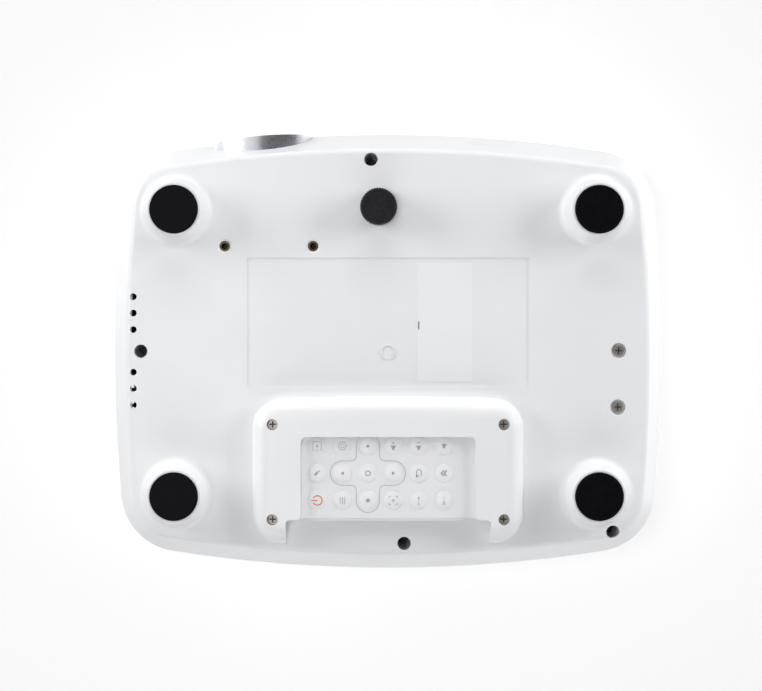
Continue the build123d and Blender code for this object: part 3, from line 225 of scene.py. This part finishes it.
def knurled(name, colour):
    """Dark grip plastic: dusty in patches."""
    s = Shader(name)
    wear = s.noise(420.0, 4.0, 0.7)
    tint = s.colours(wear, ((0.35, shade(colour, 0.75)), (0.7, shade(colour, 1.5))))
    rough = s.spread(wear, 0.42, 0.6)
    normal = s.bump(s.noise(1600.0, 2.0), 0.00003, 0.5)
    s.fixed(Specular_IOR_Level=0.09)
    return s.finish(tint, rough, normal)


def glass(name, tint, rough, coat):
    """Coated glass: a faint tint that varies and the coating's own reflection."""
    s = Shader(name)
    cloud = s.noise(60.0, 2.0)
    colour = s.colours(cloud, ((0.3, shade(tint, 0.96)), (0.7, tint)))
    sheen = s.spread(cloud, rough, rough + 0.02)
    s.fixed(Transmission_Weight=0.85, IOR=1.5, Coat_Weight=coat, Coat_Roughness=0.03)
    return s.finish(colour, sheen)


def circuit(name):
    """Green solder mask over copper tracks."""
    s = Shader(name)
    cells = s.add("ShaderNodeTexBrick")
    cells.inputs["Scale"].default_value = 160.0
    cells.inputs["Mortar Size"].default_value = 0.06
    cells.inputs["Color1"].default_value = (0.01, 0.09, 0.035, 1.0)
    cells.inputs["Color2"].default_value = (0.012, 0.11, 0.045, 1.0)
    cells.inputs["Mortar"].default_value = (0.05, 0.22, 0.08, 1.0)
    s.join(s.place, cells.inputs["Vector"])
    rough = s.spread(s.noise(300.0), 0.28, 0.42)
    normal = s.bump(cells.outputs["Fac"], 0.00005, 0.4)
    s.fixed(Coat_Weight=0.3, Coat_Roughness=0.15)
    return s.finish(cells.outputs["Color"], rough, normal)


def printed(name, colour):
    """Pad-printed ink, a little uneven over the plastic under it."""
    s = Shader(name)
    ink = s.noise(2600.0, 3.0, 0.6)
    tint = s.colours(ink, ((0.3, shade(colour, 0.93)), (0.7, shade(colour, 1.07))))
    rough = s.spread(ink, 0.45, 0.6)
    normal = s.bump(ink, 0.000004, 0.3)
    return s.finish(tint, rough, normal)


# ---------------------------------------------------------------- finishes

LENS_CENTRE = (-0.062, 0.0, 0.050)
CASING = (0.835, 0.843, 0.862)
FINISHES = {
    "casing_white": moulded("casing_white", CASING, 0.4),
    "holder_white": moulded("holder_white", (0.86, 0.866, 0.88), 0.36),
    "label_white": moulded("label_white", (0.875, 0.88, 0.893), 0.5, 2600.0, 0.000006, 0.006),
    "remote_white": moulded("remote_white", (0.80, 0.81, 0.83), 0.45, 1800.0),
    "remote_face_white": moulded(
        "remote_face_white", (0.885, 0.892, 0.912), 0.5, 1800.0, milky=0.7
    ),
    "key_white": moulded(
        "key_white", (0.90, 0.905, 0.92), 0.48, 2000.0, 0.00001, 0.006, milky=0.7
    ),
    # Painted light: the lips are a lighter white than the pad's face and keys, which lifts the
    # shade in the ring about each key.
    "lip_white": moulded("lip_white", (0.95, 0.952, 0.96), 0.5, 2000.0, 0.00001, 0.006),
    "grille_white": moulded("grille_white", (0.80, 0.81, 0.83), 0.45),
    "pad_rubber": rubber("pad_rubber", (0.0045, 0.0045, 0.0056)),
    "knob_dark": knurled("knob_dark", (0.014, 0.0135, 0.017)),
    "insert_brass": metal("insert_brass", (0.10, 0.076, 0.052), 0.42, scale=1300.0),
    "screw_steel": metal("screw_steel", (0.37, 0.342, 0.315), 0.42, scale=1500.0),
    "dish_metal": turned("dish_metal", (0.66, 0.67, 0.71), LENS_CENTRE, 1, 0.3, 0.0009),
    "lens_glass": glass("lens_glass", (0.86, 0.9, 0.98), 0.02, 0.6),
    "optic_glass": glass("optic_glass", (0.9, 0.94, 0.96), 0.04, 0.2),
    "inner_black": moulded("inner_black", (0.018, 0.018, 0.020), 0.5, 1200.0, 0.00004, 0.1),
    "panel_dark": moulded("panel_dark", (0.030, 0.031, 0.034), 0.42, 1500.0, 0.00003, 0.1),
    "inlet_black": moulded("inlet_black", (0.014, 0.014, 0.015), 0.4, 1400.0, 0.00003, 0.1),
    "connector_metal": metal("connector_metal", (0.62, 0.62, 0.60), 0.28, (1.0, 0.15, 1.0)),
    "tray_dark": moulded("tray_dark", (0.028, 0.029, 0.032), 0.46, 1300.0, 0.00003, 0.1),
    "hub_dark": moulded("hub_dark", (0.045, 0.045, 0.048), 0.4, 1500.0, 0.00002, 0.1),
    "sled_metal": metal("sled_metal", (0.36, 0.365, 0.38), 0.42, scale=700.0, depth=0.00002),
    "rod_chrome": metal("rod_chrome", (0.66, 0.67, 0.69), 0.16, scale=1500.0),
    "sheet_steel": metal("sheet_steel", (0.56, 0.57, 0.58), 0.32, (0.12, 1.0, 1.0)),
    "heat_sink_aluminium": metal("heat_sink_aluminium", (0.58, 0.59, 0.61), 0.36, (1.0, 1.0, 0.1)),
    "board_green": circuit("board_green"),
}
INK_GREY = printed("ink_grey", (0.36, 0.365, 0.37))
INK_FAINT = printed("ink_faint", (0.50, 0.505, 0.52))
INK_RED = printed("ink_red", (0.76, 0.19, 0.105))
INK_DARK = printed("ink_dark", (0.10, 0.10, 0.11))
# Partly painted shade: a near-black brass for the insert bores, partly the threads' darker brass
# and partly their shade, and for the casing at the floor of each insert's hole, where it is painted
# shade alone.
THREAD_AND_BORE_SHADE = metal("thread_brown_and_bore_shade", (0.035, 0.028, 0.02), 0.5, scale=1500.0)
# Painted shade: a dark steel for the cross recess in each screw head and for the screws deep in
# their wells.
PAINTED_SCREW_SHADE = metal("painted_screw_shade", (0.085, 0.078, 0.07), 0.5, scale=1500.0)
CHIP = moulded("chip_black", (0.020, 0.020, 0.022), 0.5, 1500.0, 0.00002, 0.1)
COATED = glass("objective_coated", (0.35, 0.42, 0.75), 0.02, 1.0)


def dress_nodes():
    """Each CAD node gets the finish of its own material slot."""
    for node in frame["nodes"].values():
        slot_name = node.data.materials[0].name.split(".")[0]
        node.data.materials.clear()
        node.data.materials.append(FINISHES[slot_name])


def repaint(node_name, finish, inside):
    """A second material for the faces whose centre passes the test, given in millimetres; it lays
    second finishes and painted shade.
    """
    mesh = frame["nodes"][node_name].data
    mesh.materials.append(finish)
    index = len(mesh.materials) - 1
    for face in mesh.polygons:
        if inside(face.center / MM):
            face.material_index = index


# ---------------------------------------------------------------- flat marks


class Marks:
    """Thin printed marks, drawn in millimetres on a key's crown and given a small thickness."""

    def __init__(self, crown_radius=None):
        self.mesh = bmesh.new()
        self.crown_radius = crown_radius

    def vertex(self, x, y):
        return self.mesh.verts.new((x, y, 0.0))

    def polygon(self, corners):
        self.mesh.faces.new([self.vertex(x, y) for x, y in corners])

    def drape(self, longest=0.5):
        """Cut the flat faces small, then bend them onto the crown."""
        if self.crown_radius is None:
            return
        for _ in range(4):
            bmesh.ops.triangulate(self.mesh, faces=self.mesh.faces[:])
            long_edges = [e for e in self.mesh.edges if e.calc_length() > longest]
            if not long_edges:
                break
            bmesh.ops.subdivide_edges(self.mesh, edges=long_edges, cuts=1)
        square = self.crown_radius ** 2
        for v in self.mesh.verts:
            v.co.z = self.crown_radius - math.sqrt(square - v.co.x ** 2 - v.co.y ** 2)

    def line(self, path, width, closed=False):
        """A ribbon along the path, mitred at its corners."""
        flat = self.crown_radius is None
        points = [Vector(p) for p in (path if flat else divided(path, closed))]
        left, right = [], []
        for i, point in enumerate(points):
            before = points[i - 1] if i or closed else point
            after = points[(i + 1) % len(points)] if i + 1 < len(points) or closed else point
            side = mitre(before, point, after) * width / 2.0
            left.append(self.vertex(*(point + side)))
            right.append(self.vertex(*(point - side)))
        count = len(points) if closed else len(points) - 1
        for i in range(count):
            j = (i + 1) % len(points)
            self.mesh.faces.new((left[i], left[j], right[j], right[i]))

    def arc(self, centre, radius, start, stop, width):
        closed = stop - start >= 360.0
        self.line(arc_points(centre, radius, start, stop, closed), width, closed)

    def disc(self, centre, radius):
        self.polygon(arc_points(centre, radius, 0.0, 360.0, True))


def arc_points(centre, radius, start, stop, closed=False, step=12.0):
    count = max(3, int(math.ceil(abs(stop - start) / step)))
    last = count if closed else count + 1
    angles = [math.radians(start + (stop - start) * i / count) for i in range(last)]
    return [(centre[0] + radius * math.cos(a), centre[1] + radius * math.sin(a)) for a in angles]


def divided(path, closed, longest=0.6):
    """The path with its long runs cut, so that a mark follows the crown under it."""
    points = []
    ends = list(path) + ([path[0]] if closed else [])
    for (x0, y0), (x1, y1) in zip(ends, ends[1:]):
        parts = max(1, int(math.ceil(math.hypot(x1 - x0, y1 - y0) / longest)))
        points += [(x0 + (x1 - x0) * i / parts, y0 + (y1 - y0) * i / parts) for i in range(parts)]
    return points if closed else points + [ends[-1]]


LEAST_MITRE = 0.4


def mitre(before, point, after):
    """The way across the path at a point, longer at a corner so that the width holds."""
    first = (point - before).normalized() if before != point else (after - point).normalized()
    second = (after - point).normalized() if after != point else first
    along = (first + second).normalized()
    across = Vector((-along.y, along.x))
    return across / max(LEAST_MITRE, across.dot(Vector((-first.y, first.x))))


def triangle(marks, centre, size, turn):
    """A small arrow head that points along the turn, in degrees from +X."""
    corners = arc_points(centre, size, turn, turn + 360.0, True, 120.0)
    marks.polygon(corners)


MARK_THICKNESS = 0.03
THIN_MARK = 0.02


def place_marks(marks, name, finish, body, origin, side, thickness=MARK_THICKNESS):
    """The marks become a thin piece at origin (mm), on a face that looks up (1) or down (-1)."""
    mesh = bpy.data.meshes.new(name)
    marks.drape()
    marks.mesh.transform(Matrix.Diagonal((1.0, 1.0, -side, 1.0)))
    made = bmesh.ops.extrude_face_region(marks.mesh, geom=marks.mesh.faces[:])
    raised = [v for v in made["geom"] if isinstance(v, bmesh.types.BMVert)]
    bmesh.ops.translate(marks.mesh, vec=(0.0, 0.0, side * thickness), verts=raised)
    bmesh.ops.recalc_face_normals(marks.mesh, faces=marks.mesh.faces[:])
    marks.mesh.transform(Matrix.Translation(origin))
    marks.mesh.transform(Matrix.Scale(MM, 4))
    marks.mesh.to_mesh(mesh)
    marks.mesh.free()
    piece = bpy.data.objects.new(name, mesh)
    scene.collection.objects.link(piece)
    mesh.materials.append(finish)
    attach(piece, body)


# ---------------------------------------------------------------- remote key marks

KEY_RADIUS = 4.15
KEY_DOME = 0.35
CROWN_RADIUS = (KEY_RADIUS ** 2 + KEY_DOME ** 2) / (2.0 * KEY_DOME)


def boxed_arrow(m):
    m.line([(-0.7, 2.0), (-2.0, 2.0), (-2.0, -2.0), (2.0, -2.0), (2.0, 2.0), (0.7, 2.0)], 0.28)
    m.line([(0.0, 3.0), (0.0, 0.4)], 0.28)
    triangle(m, (0.0, 0.0), 0.85, -90.0)


def gear(m):
    corners = arc_points((0.0, 0.0), 2.05, 0.0, 360.0, True, 60.0)
    m.line(corners, 0.32, True)
    m.arc((0.0, 0.0), 0.85, 0.0, 360.0, 0.3)


def arrow_front(m):
    triangle(m, (0.0, 0.1), 1.05, -90.0)


def arrow_left(m):
    triangle(m, (0.1, 0.0), 1.05, 180.0)


def arrow_right(m):
    triangle(m, (-0.1, 0.0), 1.05, 0.0)


def plus_arrow(m):
    m.line([(0.0, -1.9), (0.0, -0.9)], 0.3)
    m.line([(-0.5, -1.4), (0.5, -1.4)], 0.3)
    speaker_shape(m, 0.8)


def minus_arrow(m):
    m.line([(-0.6, -1.6), (0.6, -1.6)], 0.32)
    speaker_shape(m, 0.8)


def speaker_shape(m, y):
    """A loudspeaker mark seen from its side: a horn on a short block."""
    m.polygon([(-1.35, y - 0.9), (1.35, y - 0.9), (0.45, y + 0.35), (-0.45, y + 0.35)])
    m.polygon([(-0.5, y + 0.35), (0.5, y + 0.35), (0.5, y + 1.1), (-0.5, y + 1.1)])


def speaker_muted(m):
    speaker_shape(m, 0.0)


def microphone(m):
    m.polygon([(-1.2, 1.1), (-1.45, 0.6), (-0.3, -0.75), (0.5, -0.1), (-0.7, 1.15)])
    m.line([(0.2, -0.45), (1.1, -1.2)], 0.5)


def ring(m):
    m.arc((0.0, 0.0), 1.15, 0.0, 360.0, 0.34)


def return_arrow(m):
    bend = arc_points((0.15, -0.6), 1.1, 180.0, 360.0)
    m.line([(-0.95, 1.1), (-0.95, -0.6)] + bend + [(1.25, 1.2)], 0.36)
    triangle(m, (-0.75, 1.35), 0.95, 120.0)


def chevrons(m):
    m.line([(-0.1, -1.3), (-1.25, 0.0), (-0.1, 1.3)], 0.62)
    m.line([(1.2, -1.3), (0.1, 0.0), (1.2, 1.3)], 0.62)


def power(m):
    m.arc((0.15, 0.0), 2.2, -148.0, 148.0, 0.5)
    m.line([(-2.7, 0.0), (0.3, 0.0)], 0.5)


def bars(m):
    for x in (-1.05, 0.0, 1.05):
        m.line([(x, -1.7), (x, 1.7)], 0.34)


def small_dot(m):
    m.disc((0.0, 0.0), 0.95)


def focus_frame(m):
    for turn in range(4):
        turned_by = Matrix.Rotation(math.radians(90.0 * turn), 2)
        corner = [(-2.0, -1.0), (-2.0, -1.8), (-1.8, -2.0), (-1.0, -2.0)]
        m.line([tuple(turned_by @ Vector(p)) for p in corner], 0.34)
    m.arc((0.0, 0.0), 0.5, 0.0, 360.0, 0.4)


def page_rear(m):
    m.line([(0.0, 1.7), (0.0, -1.0)], 0.26)
    triangle(m, (0.0, -1.15), 0.75, -90.0)
    m.line([(-0.9, 1.8), (0.9, 1.8)], 0.28)


def page_front(m):
    m.line([(0.0, -1.7), (0.0, 1.0)], 0.26)
    triangle(m, (0.0, 1.1), 0.75, 90.0)
    m.line([(-0.9, 1.85), (0.9, 1.85)], 0.28)


KEY_MARKS = [
    boxed_arrow, gear, arrow_front, plus_arrow, minus_arrow, speaker_muted,
    microphone, arrow_left, ring, arrow_right, return_arrow, chevrons,
    power, bars, small_dot, focus_frame, page_rear, page_front,
]
FAINT_MARKS = (boxed_arrow, gear, bars, focus_frame, page_rear, page_front)


def mark_remote_keys():
    for number, draw in enumerate(KEY_MARKS, 1):
        node = f"remote_key_{number:02d}"
        low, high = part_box(node)
        centre = (low + high) / 2.0 / MM
        marks = Marks(CROWN_RADIUS)
        draw(marks)
        ink = INK_RED if draw is power else INK_FAINT if draw in FAINT_MARKS else INK_GREY
        origin = (centre.x, centre.y, low.z / MM)
        place_marks(marks, f"mark_{node}", ink, node, origin, -1)


CROSS_LENGTHS = (17.87, 18.66)
CROSS_HALVES = (5.78, 5.52)
CROSS_FILLET = 2.5
CROSS_LINE = 0.34


def cross_path():
    """The outline of the round-ended cross about the four arrow keys, counter-clockwise."""
    path = []
    for turn in range(4):
        length, half = CROSS_LENGTHS[turn % 2], CROSS_HALVES[turn % 2]
        other = CROSS_HALVES[1 - turn % 2]
        arm = arc_points((length - half, 0.0), half, -90.0, 90.0)
        corner = (other + CROSS_FILLET, half + CROSS_FILLET)
        fillet = arc_points(corner, CROSS_FILLET, 270.0, 180.0)
        turned_by = Matrix.Rotation(math.radians(90.0 * turn), 2)
        path += [tuple(turned_by @ Vector(p)) for p in arm + fillet]
    return path


def mark_cross():
    low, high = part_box("remote_key_09")
    centre = (low + high) / 2.0 / MM
    face_low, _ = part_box("remote_face")
    marks = Marks()
    marks.line(cross_path(), CROSS_LINE, True)
    origin = (centre.x, centre.y, face_low.z / MM)
    place_marks(
        marks, "remote_cross_outline", INK_FAINT, "remote",
        origin, -1, THIN_MARK,
    )


LIP_INNER = KEY_RADIUS + 0.015
LIP_OUTER = KEY_RADIUS + 0.4
LIP_HEIGHT = 0.06
LIP_STEPS = 48


def seal_key_gaps():
    """Soft lips of the silicone pad, which slope from each key's side down to the face."""
    face_low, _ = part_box("remote_face")
    level = face_low.z / MM
    made = bmesh.new()
    for number in range(1, len(KEY_MARKS) + 1):
        low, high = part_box(f"remote_key_{number:02d}")
        key = (low + high) / 2.0 / MM
        rings = []
        profile = ((LIP_INNER, level - LIP_HEIGHT), (LIP_OUTER, level), (LIP_INNER, level))
        for radius, z in profile:
            circle = arc_points((key.x, key.y), radius, 0.0, 360.0, True, 360.0 / LIP_STEPS)
            rings.append([made.verts.new((x, y, z)) for x, y in circle])
        for one, other in zip(rings, rings[1:] + rings[:1]):
            for i in range(LIP_STEPS):
                j = (i + 1) % LIP_STEPS
                made.faces.new((one[i], one[j], other[j], other[i]))
    bmesh.ops.recalc_face_normals(made, faces=made.faces[:])
    bmesh.ops.scale(made, vec=(MM, MM, MM), verts=made.verts[:])
    mesh = bpy.data.meshes.new("remote_key_lips")
    made.to_mesh(mesh)
    made.free()
    lips = bpy.data.objects.new("remote_key_lips", mesh)
    scene.collection.objects.link(lips)
    # Painted light: the lips take the lighter white, which lifts the shade about each key.
    mesh.materials.append(FINISHES["lip_white"])
    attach(lips, "remote")


# ---------------------------------------------------------------- top key marks


def top_power(m):
    m.arc((0.0, 0.0), 1.7, 120.0, 420.0, 0.34)
    m.line([(0.0, 0.4), (0.0, 2.2)], 0.34)


def top_source(m):
    m.line([(-0.6, 1.6), (-1.8, 1.6), (-1.8, -1.6), (-0.6, -1.6)], 0.32)
    m.line([(-0.9, 0.0), (1.0, 0.0)], 0.32)
    triangle(m, (1.1, 0.0), 0.8, 0.0)


def top_minus(m):
    m.line([(-1.6, 0.0), (1.6, 0.0)], 0.4)


def top_plus(m):
    top_minus(m)
    m.line([(0.0, -1.6), (0.0, -0.2)], 0.4)
    m.line([(0.0, 0.2), (0.0, 1.6)], 0.4)


TOP_MARKS = {
    "power_key": top_power,
    "source_key": top_source,
    "volume_down_key": top_minus,
    "volume_up_key": top_plus,
}


def mark_top_keys():
    for node, draw in TOP_MARKS.items():
        low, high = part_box(node)
        centre = (low + high) / 2.0 / MM
        marks = Marks()
        draw(marks)
        origin = (centre.x, centre.y, high.z / MM)
        place_marks(marks, f"mark_{node}", INK_GREY, node, origin, 1, THIN_MARK)


# ---------------------------------------------------------------- small fittings


CUT_MARK_HALF = 1.9
CUT_MARK_WIDTH = 0.55
CUT_MARK_INSET = 0.6
CUT_MARK_Y = -12.4


def mark_label():
    """The sticker's small cut mark on its left edge."""
    low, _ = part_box("blank_label")
    marks = Marks()
    marks.line([(0.0, -CUT_MARK_HALF), (0.0, CUT_MARK_HALF)], CUT_MARK_WIDTH)
    origin = (low.x / MM + CUT_MARK_INSET, CUT_MARK_Y, low.z / MM)
    place_marks(marks, "label_cut_mark", INK_DARK, "base", origin, -1, THIN_MARK)


def screw_heads():
    """The axis and the outer face of each screw (mm), read from its own island of the mesh."""
    mesh = bmesh.new()
    mesh.from_mesh(frame["nodes"]["case_screws"].data)
    bmesh.ops.remove_doubles(mesh, verts=mesh.verts[:], dist=1e-6)
    waiting = set(mesh.verts)
    heads = []
    while waiting:
        island, edge = set(), [waiting.pop()]
        while edge:
            v = edge.pop()
            island.add(v)
            near = [e.other_vert(v) for e in v.link_edges]
            edge += [n for n in near if n in waiting]
            waiting.difference_update(near)
        xs, ys, zs = zip(*((v.co / MM) for v in island))
        heads.append(((min(xs) + max(xs)) / 2.0, (min(ys) + max(ys)) / 2.0, min(zs)))
    mesh.free()
    return heads


# Places of the second finishes and of the painted shade, in millimetres.
OBJECTIVE = (84.0, -17.0)
OBJECTIVE_RADIUS = 2.4
OBJECTIVE_Z = 63.9
JACKS_X = (31.0, 50.0)
RECESS_RADIUS = 1.8
RECESS_START, RECESS_END = 0.02, 0.9
# Screws whose heads lie deeper than this sit in wells and are painted dark all over as their shade.
DEEP_SCREW_Z = 30.0
INSERT_RADIUS = 2.55
INSERT_BORE = 1.65
INSERT_FLOOR_Z = 19.0
THREAD_WALL = 0.15
DISH_MARGIN = 0.1
INSERT_AXES = ((-78.0, -50.2), (-35.8, -50.2))


def near_insert(p):
    return min(math.hypot(p.x - x, p.y - y) for x, y in INSERT_AXES)


def in_a_recess(p, heads):
    """True on the walls and the floor of the cross in a screw's head, where dark steel is painted
    as shade.
    """
    return any(
        math.hypot(p.x - x, p.y - y) < RECESS_RADIUS
        and z + RECESS_START < p.z < z + RECESS_END
        for x, y, z in heads
    )


def on_the_objective(p):
    x, y = OBJECTIVE
    return p.z > OBJECTIVE_Z and math.hypot(p.x - x, p.y - y) < OBJECTIVE_RADIUS


# The casing at the floor of an insert's hole, which is painted dark as its shade.
def in_an_insert_dish(p):
    return near_insert(p) < INSERT_RADIUS - DISH_MARGIN and p.z > INSERT_FLOOR_Z


def dress_details():
    """Second finishes on the nodes that hold more than one material, and painted shade in the screw
    recesses, on the deep screws, in the insert bores and on the insert hole floors.
    """
    repaint("pickup_sled", COATED, on_the_objective)
    repaint("io_connectors", CHIP, lambda p: JACKS_X[0] < p.x < JACKS_X[1])
    heads = screw_heads()
    # Painted shade: the cross recesses and the screws deep in their wells take the dark steel.
    repaint("case_screws", PAINTED_SCREW_SHADE, lambda p: in_a_recess(p, heads) or p.z > DEEP_SCREW_Z)
    # Partly painted shade: the insert bores take the near-black brass, partly darker thread brass
    # and partly their shade.
    repaint("threaded_inserts", THREAD_AND_BORE_SHADE, lambda p: near_insert(p) < INSERT_BORE + THREAD_WALL)
    # Painted shade: the casing at the floor of each insert's hole takes the near-black brass.
    repaint("lower_housing", THREAD_AND_BORE_SHADE, in_an_insert_dish)


# ---------------------------------------------------------------- stage and light

FLOOR_SIZE = 4.0
BACKDROP_Z = 0.1062
STAGE_GLOW = 0.69
STAGE_COLOUR = 0.85


def stage_material():
    """White to the camera, keeps the object's shadow, and shows on one side only."""
    material = bpy.data.materials.new("stage_white")
    material.use_nodes = True
    tree = material.node_tree
    tree.nodes.clear()
    output = tree.nodes.new("ShaderNodeOutputMaterial")
    geometry = tree.nodes.new("ShaderNodeNewGeometry")
    clear = tree.nodes.new("ShaderNodeBsdfTransparent")
    diffuse = tree.nodes.new("ShaderNodeBsdfDiffuse")
    glow = tree.nodes.new("ShaderNodeEmission")
    both = tree.nodes.new("ShaderNodeAddShader")
    sides = tree.nodes.new("ShaderNodeMixShader")
    grain = tree.nodes.new("ShaderNodeTexNoise")
    ramp = tree.nodes.new("ShaderNodeValToRGB")
    grain.inputs["Scale"].default_value = 3.0
    for element, at in zip(ramp.color_ramp.elements, (STAGE_COLOUR, STAGE_COLOUR * 1.01)):
        element.color = (at, at, at, 1.0)
    glow.inputs["Strength"].default_value = STAGE_GLOW
    tree.links.new(grain.outputs["Fac"], ramp.inputs["Fac"])
    tree.links.new(ramp.outputs["Color"], diffuse.inputs["Color"])
    tree.links.new(diffuse.outputs["BSDF"], both.inputs[0])
    tree.links.new(glow.outputs["Emission"], both.inputs[1])
    tree.links.new(geometry.outputs["Backfacing"], sides.inputs["Fac"])
    tree.links.new(both.outputs["Shader"], sides.inputs[1])
    tree.links.new(clear.outputs["BSDF"], sides.inputs[2])
    tree.links.new(sides.outputs["Shader"], output.inputs["Surface"])
    return material


def stage_plane(name, z, facing, material):
    """A wide plane that only the camera sees, and only from the side it faces."""
    mesh = bpy.data.meshes.new(name)
    half = FLOOR_SIZE / 2.0
    corners = [(-half, -half, z), (half, -half, z), (half, half, z), (-half, half, z)]
    mesh.from_pydata(corners, [], [(0, 1, 2, 3) if facing > 0 else (3, 2, 1, 0)])
    plane = bpy.data.objects.new(name, mesh)
    scene.collection.objects.link(plane)
    mesh.materials.append(material)
    plane.visible_diffuse = False
    plane.visible_glossy = False
    plane.visible_transmission = False
    plane.visible_shadow = False
    return plane


CARD_CORNERS = ((-0.10, -0.9, -0.62), (-0.10, 0.7, -0.62), (1.3, 0.7, 0.02), (1.3, -0.9, 0.02))
CARD_TONES = (0.10, 0.14)


def dark_card():
    """A dark card that only mirrors see, as the dark room does in the photograph's lens dish."""
    material = bpy.data.materials.new("card_black")
    material.use_nodes = True
    tree = material.node_tree
    tree.nodes.clear()
    output = tree.nodes.new("ShaderNodeOutputMaterial")
    glow = tree.nodes.new("ShaderNodeEmission")
    grain = tree.nodes.new("ShaderNodeTexNoise")
    ramp = tree.nodes.new("ShaderNodeValToRGB")
    for element, at in zip(ramp.color_ramp.elements, CARD_TONES):
        element.color = (at, at, at * 1.1, 1.0)
    tree.links.new(grain.outputs["Fac"], ramp.inputs["Fac"])
    tree.links.new(ramp.outputs["Color"], glow.inputs["Color"])
    tree.links.new(glow.outputs["Emission"], output.inputs["Surface"])
    mesh = bpy.data.meshes.new("dark_card")
    mesh.from_pydata(CARD_CORNERS, [], [(0, 1, 2, 3)])
    card = bpy.data.objects.new("dark_card", mesh)
    scene.collection.objects.link(card)
    mesh.materials.append(material)
    card.visible_camera = False
    card.visible_diffuse = False
    card.visible_transmission = False
    card.visible_shadow = False


LAMPS = {
    # name: (place, aim, width, height, watts)
    "left_low": ((-1.0, -0.35, -0.34), (0.0, 0.0, 0.03), 0.6, 0.4, 7.0),
    "right_low": ((1.0, -0.35, -0.34), (0.0, 0.0, 0.03), 0.6, 0.4, 7.5),
    "front_low": ((0.0, -1.05, -0.36), (0.0, 0.0, 0.03), 1.2, 0.5, 5.7),
    "rear_low": ((0.0, 1.05, -0.40), (0.0, 0.0, 0.03), 1.2, 0.5, 5.3),
    "under": ((-0.26, -0.04, -1.33), (0.0, 0.0, 0.03), 0.3, 0.3, 3.0),
    "left_high": ((-1.0, -0.7, 1.1), (0.0, 0.0, 0.05), 1.2, 1.2, 5.0),
    "right_high": ((1.1, -0.3, 1.0), (0.0, 0.0, 0.05), 1.2, 1.2, 4.0),
    "rear_high": ((0.1, 1.2, 0.9), (0.0, 0.0, 0.05), 1.2, 1.2, 3.0),
}
# Lamps whose light is kept off some pieces.
SPARED = {
    "left_low": ("backdrop",),
    "right_low": ("backdrop", "lens_bezel"),
    "front_low": ("backdrop",),
    "rear_low": ("backdrop",),
    "under": ("lens_bezel",),
}


def make_lamps(backdrop):
    for name, (place, aim, width, height, watts) in LAMPS.items():
        data = bpy.data.lights.new(name, "AREA")
        data.shape = "RECTANGLE"
        data.size = width
        data.size_y = height
        data.energy = watts
        lamp = bpy.data.objects.new(name, data)
        scene.collection.objects.link(lamp)
        lamp.location = place
        lamp.rotation_euler = (Vector(aim) - Vector(place)).to_track_quat("-Z", "Y").to_euler()
        lamp.visible_camera = False
        if name in SPARED:
            nodes = {"backdrop": backdrop, **frame["nodes"]}
            spare(lamp, [nodes[piece] for piece in SPARED[name]])


def spare(lamp, pieces):
    """Keep a lamp's light off some pieces: no streaks on the backdrop, no glare in the dish."""
    spared = bpy.data.collections.new(f"{lamp.name}_spares")
    for piece in pieces:
        spared.objects.link(piece)
    for link in spared.collection_objects:
        link.light_linking.link_state = "EXCLUDE"
    lamp.light_linking.receiver_collection = spared


WORLD_AMBIENT = 0.145


def make_world():
    """White to the camera and in reflections, and a soft even light on the object."""
    world = bpy.data.worlds.new("studio")
    scene.world = world
    world.use_nodes = True
    tree = world.node_tree
    background = tree.nodes["Background"]
    path = tree.nodes.new("ShaderNodeLightPath")
    first = tree.nodes.new("ShaderNodeMath")
    second = tree.nodes.new("ShaderNodeMath")
    level = tree.nodes.new("ShaderNodeMapRange")
    first.operation = "MAXIMUM"
    second.operation = "MAXIMUM"
    tree.links.new(path.outputs["Is Camera Ray"], first.inputs[0])
    tree.links.new(path.outputs["Is Glossy Ray"], first.inputs[1])
    tree.links.new(first.outputs["Value"], second.inputs[0])
    tree.links.new(path.outputs["Is Transmission Ray"], second.inputs[1])
    level.inputs["To Min"].default_value = WORLD_AMBIENT
    level.inputs["To Max"].default_value = 1.0
    tree.links.new(second.outputs["Value"], level.inputs["Value"])
    tree.links.new(level.outputs["Result"], background.inputs["Strength"])
    background.inputs["Color"].default_value = (1.0, 1.0, 1.0, 1.0)


make_camera()
dress_nodes()
dress_details()
mark_remote_keys()
mark_cross()
seal_key_gaps()
mark_top_keys()
mark_label()
white = stage_material()
stage_plane("floor", 0.0, 1, white)
backdrop = stage_plane("backdrop", BACKDROP_Z, -1, white)
dark_card()
make_lamps(backdrop)
make_world()
scene.view_settings.view_transform = "Standard"
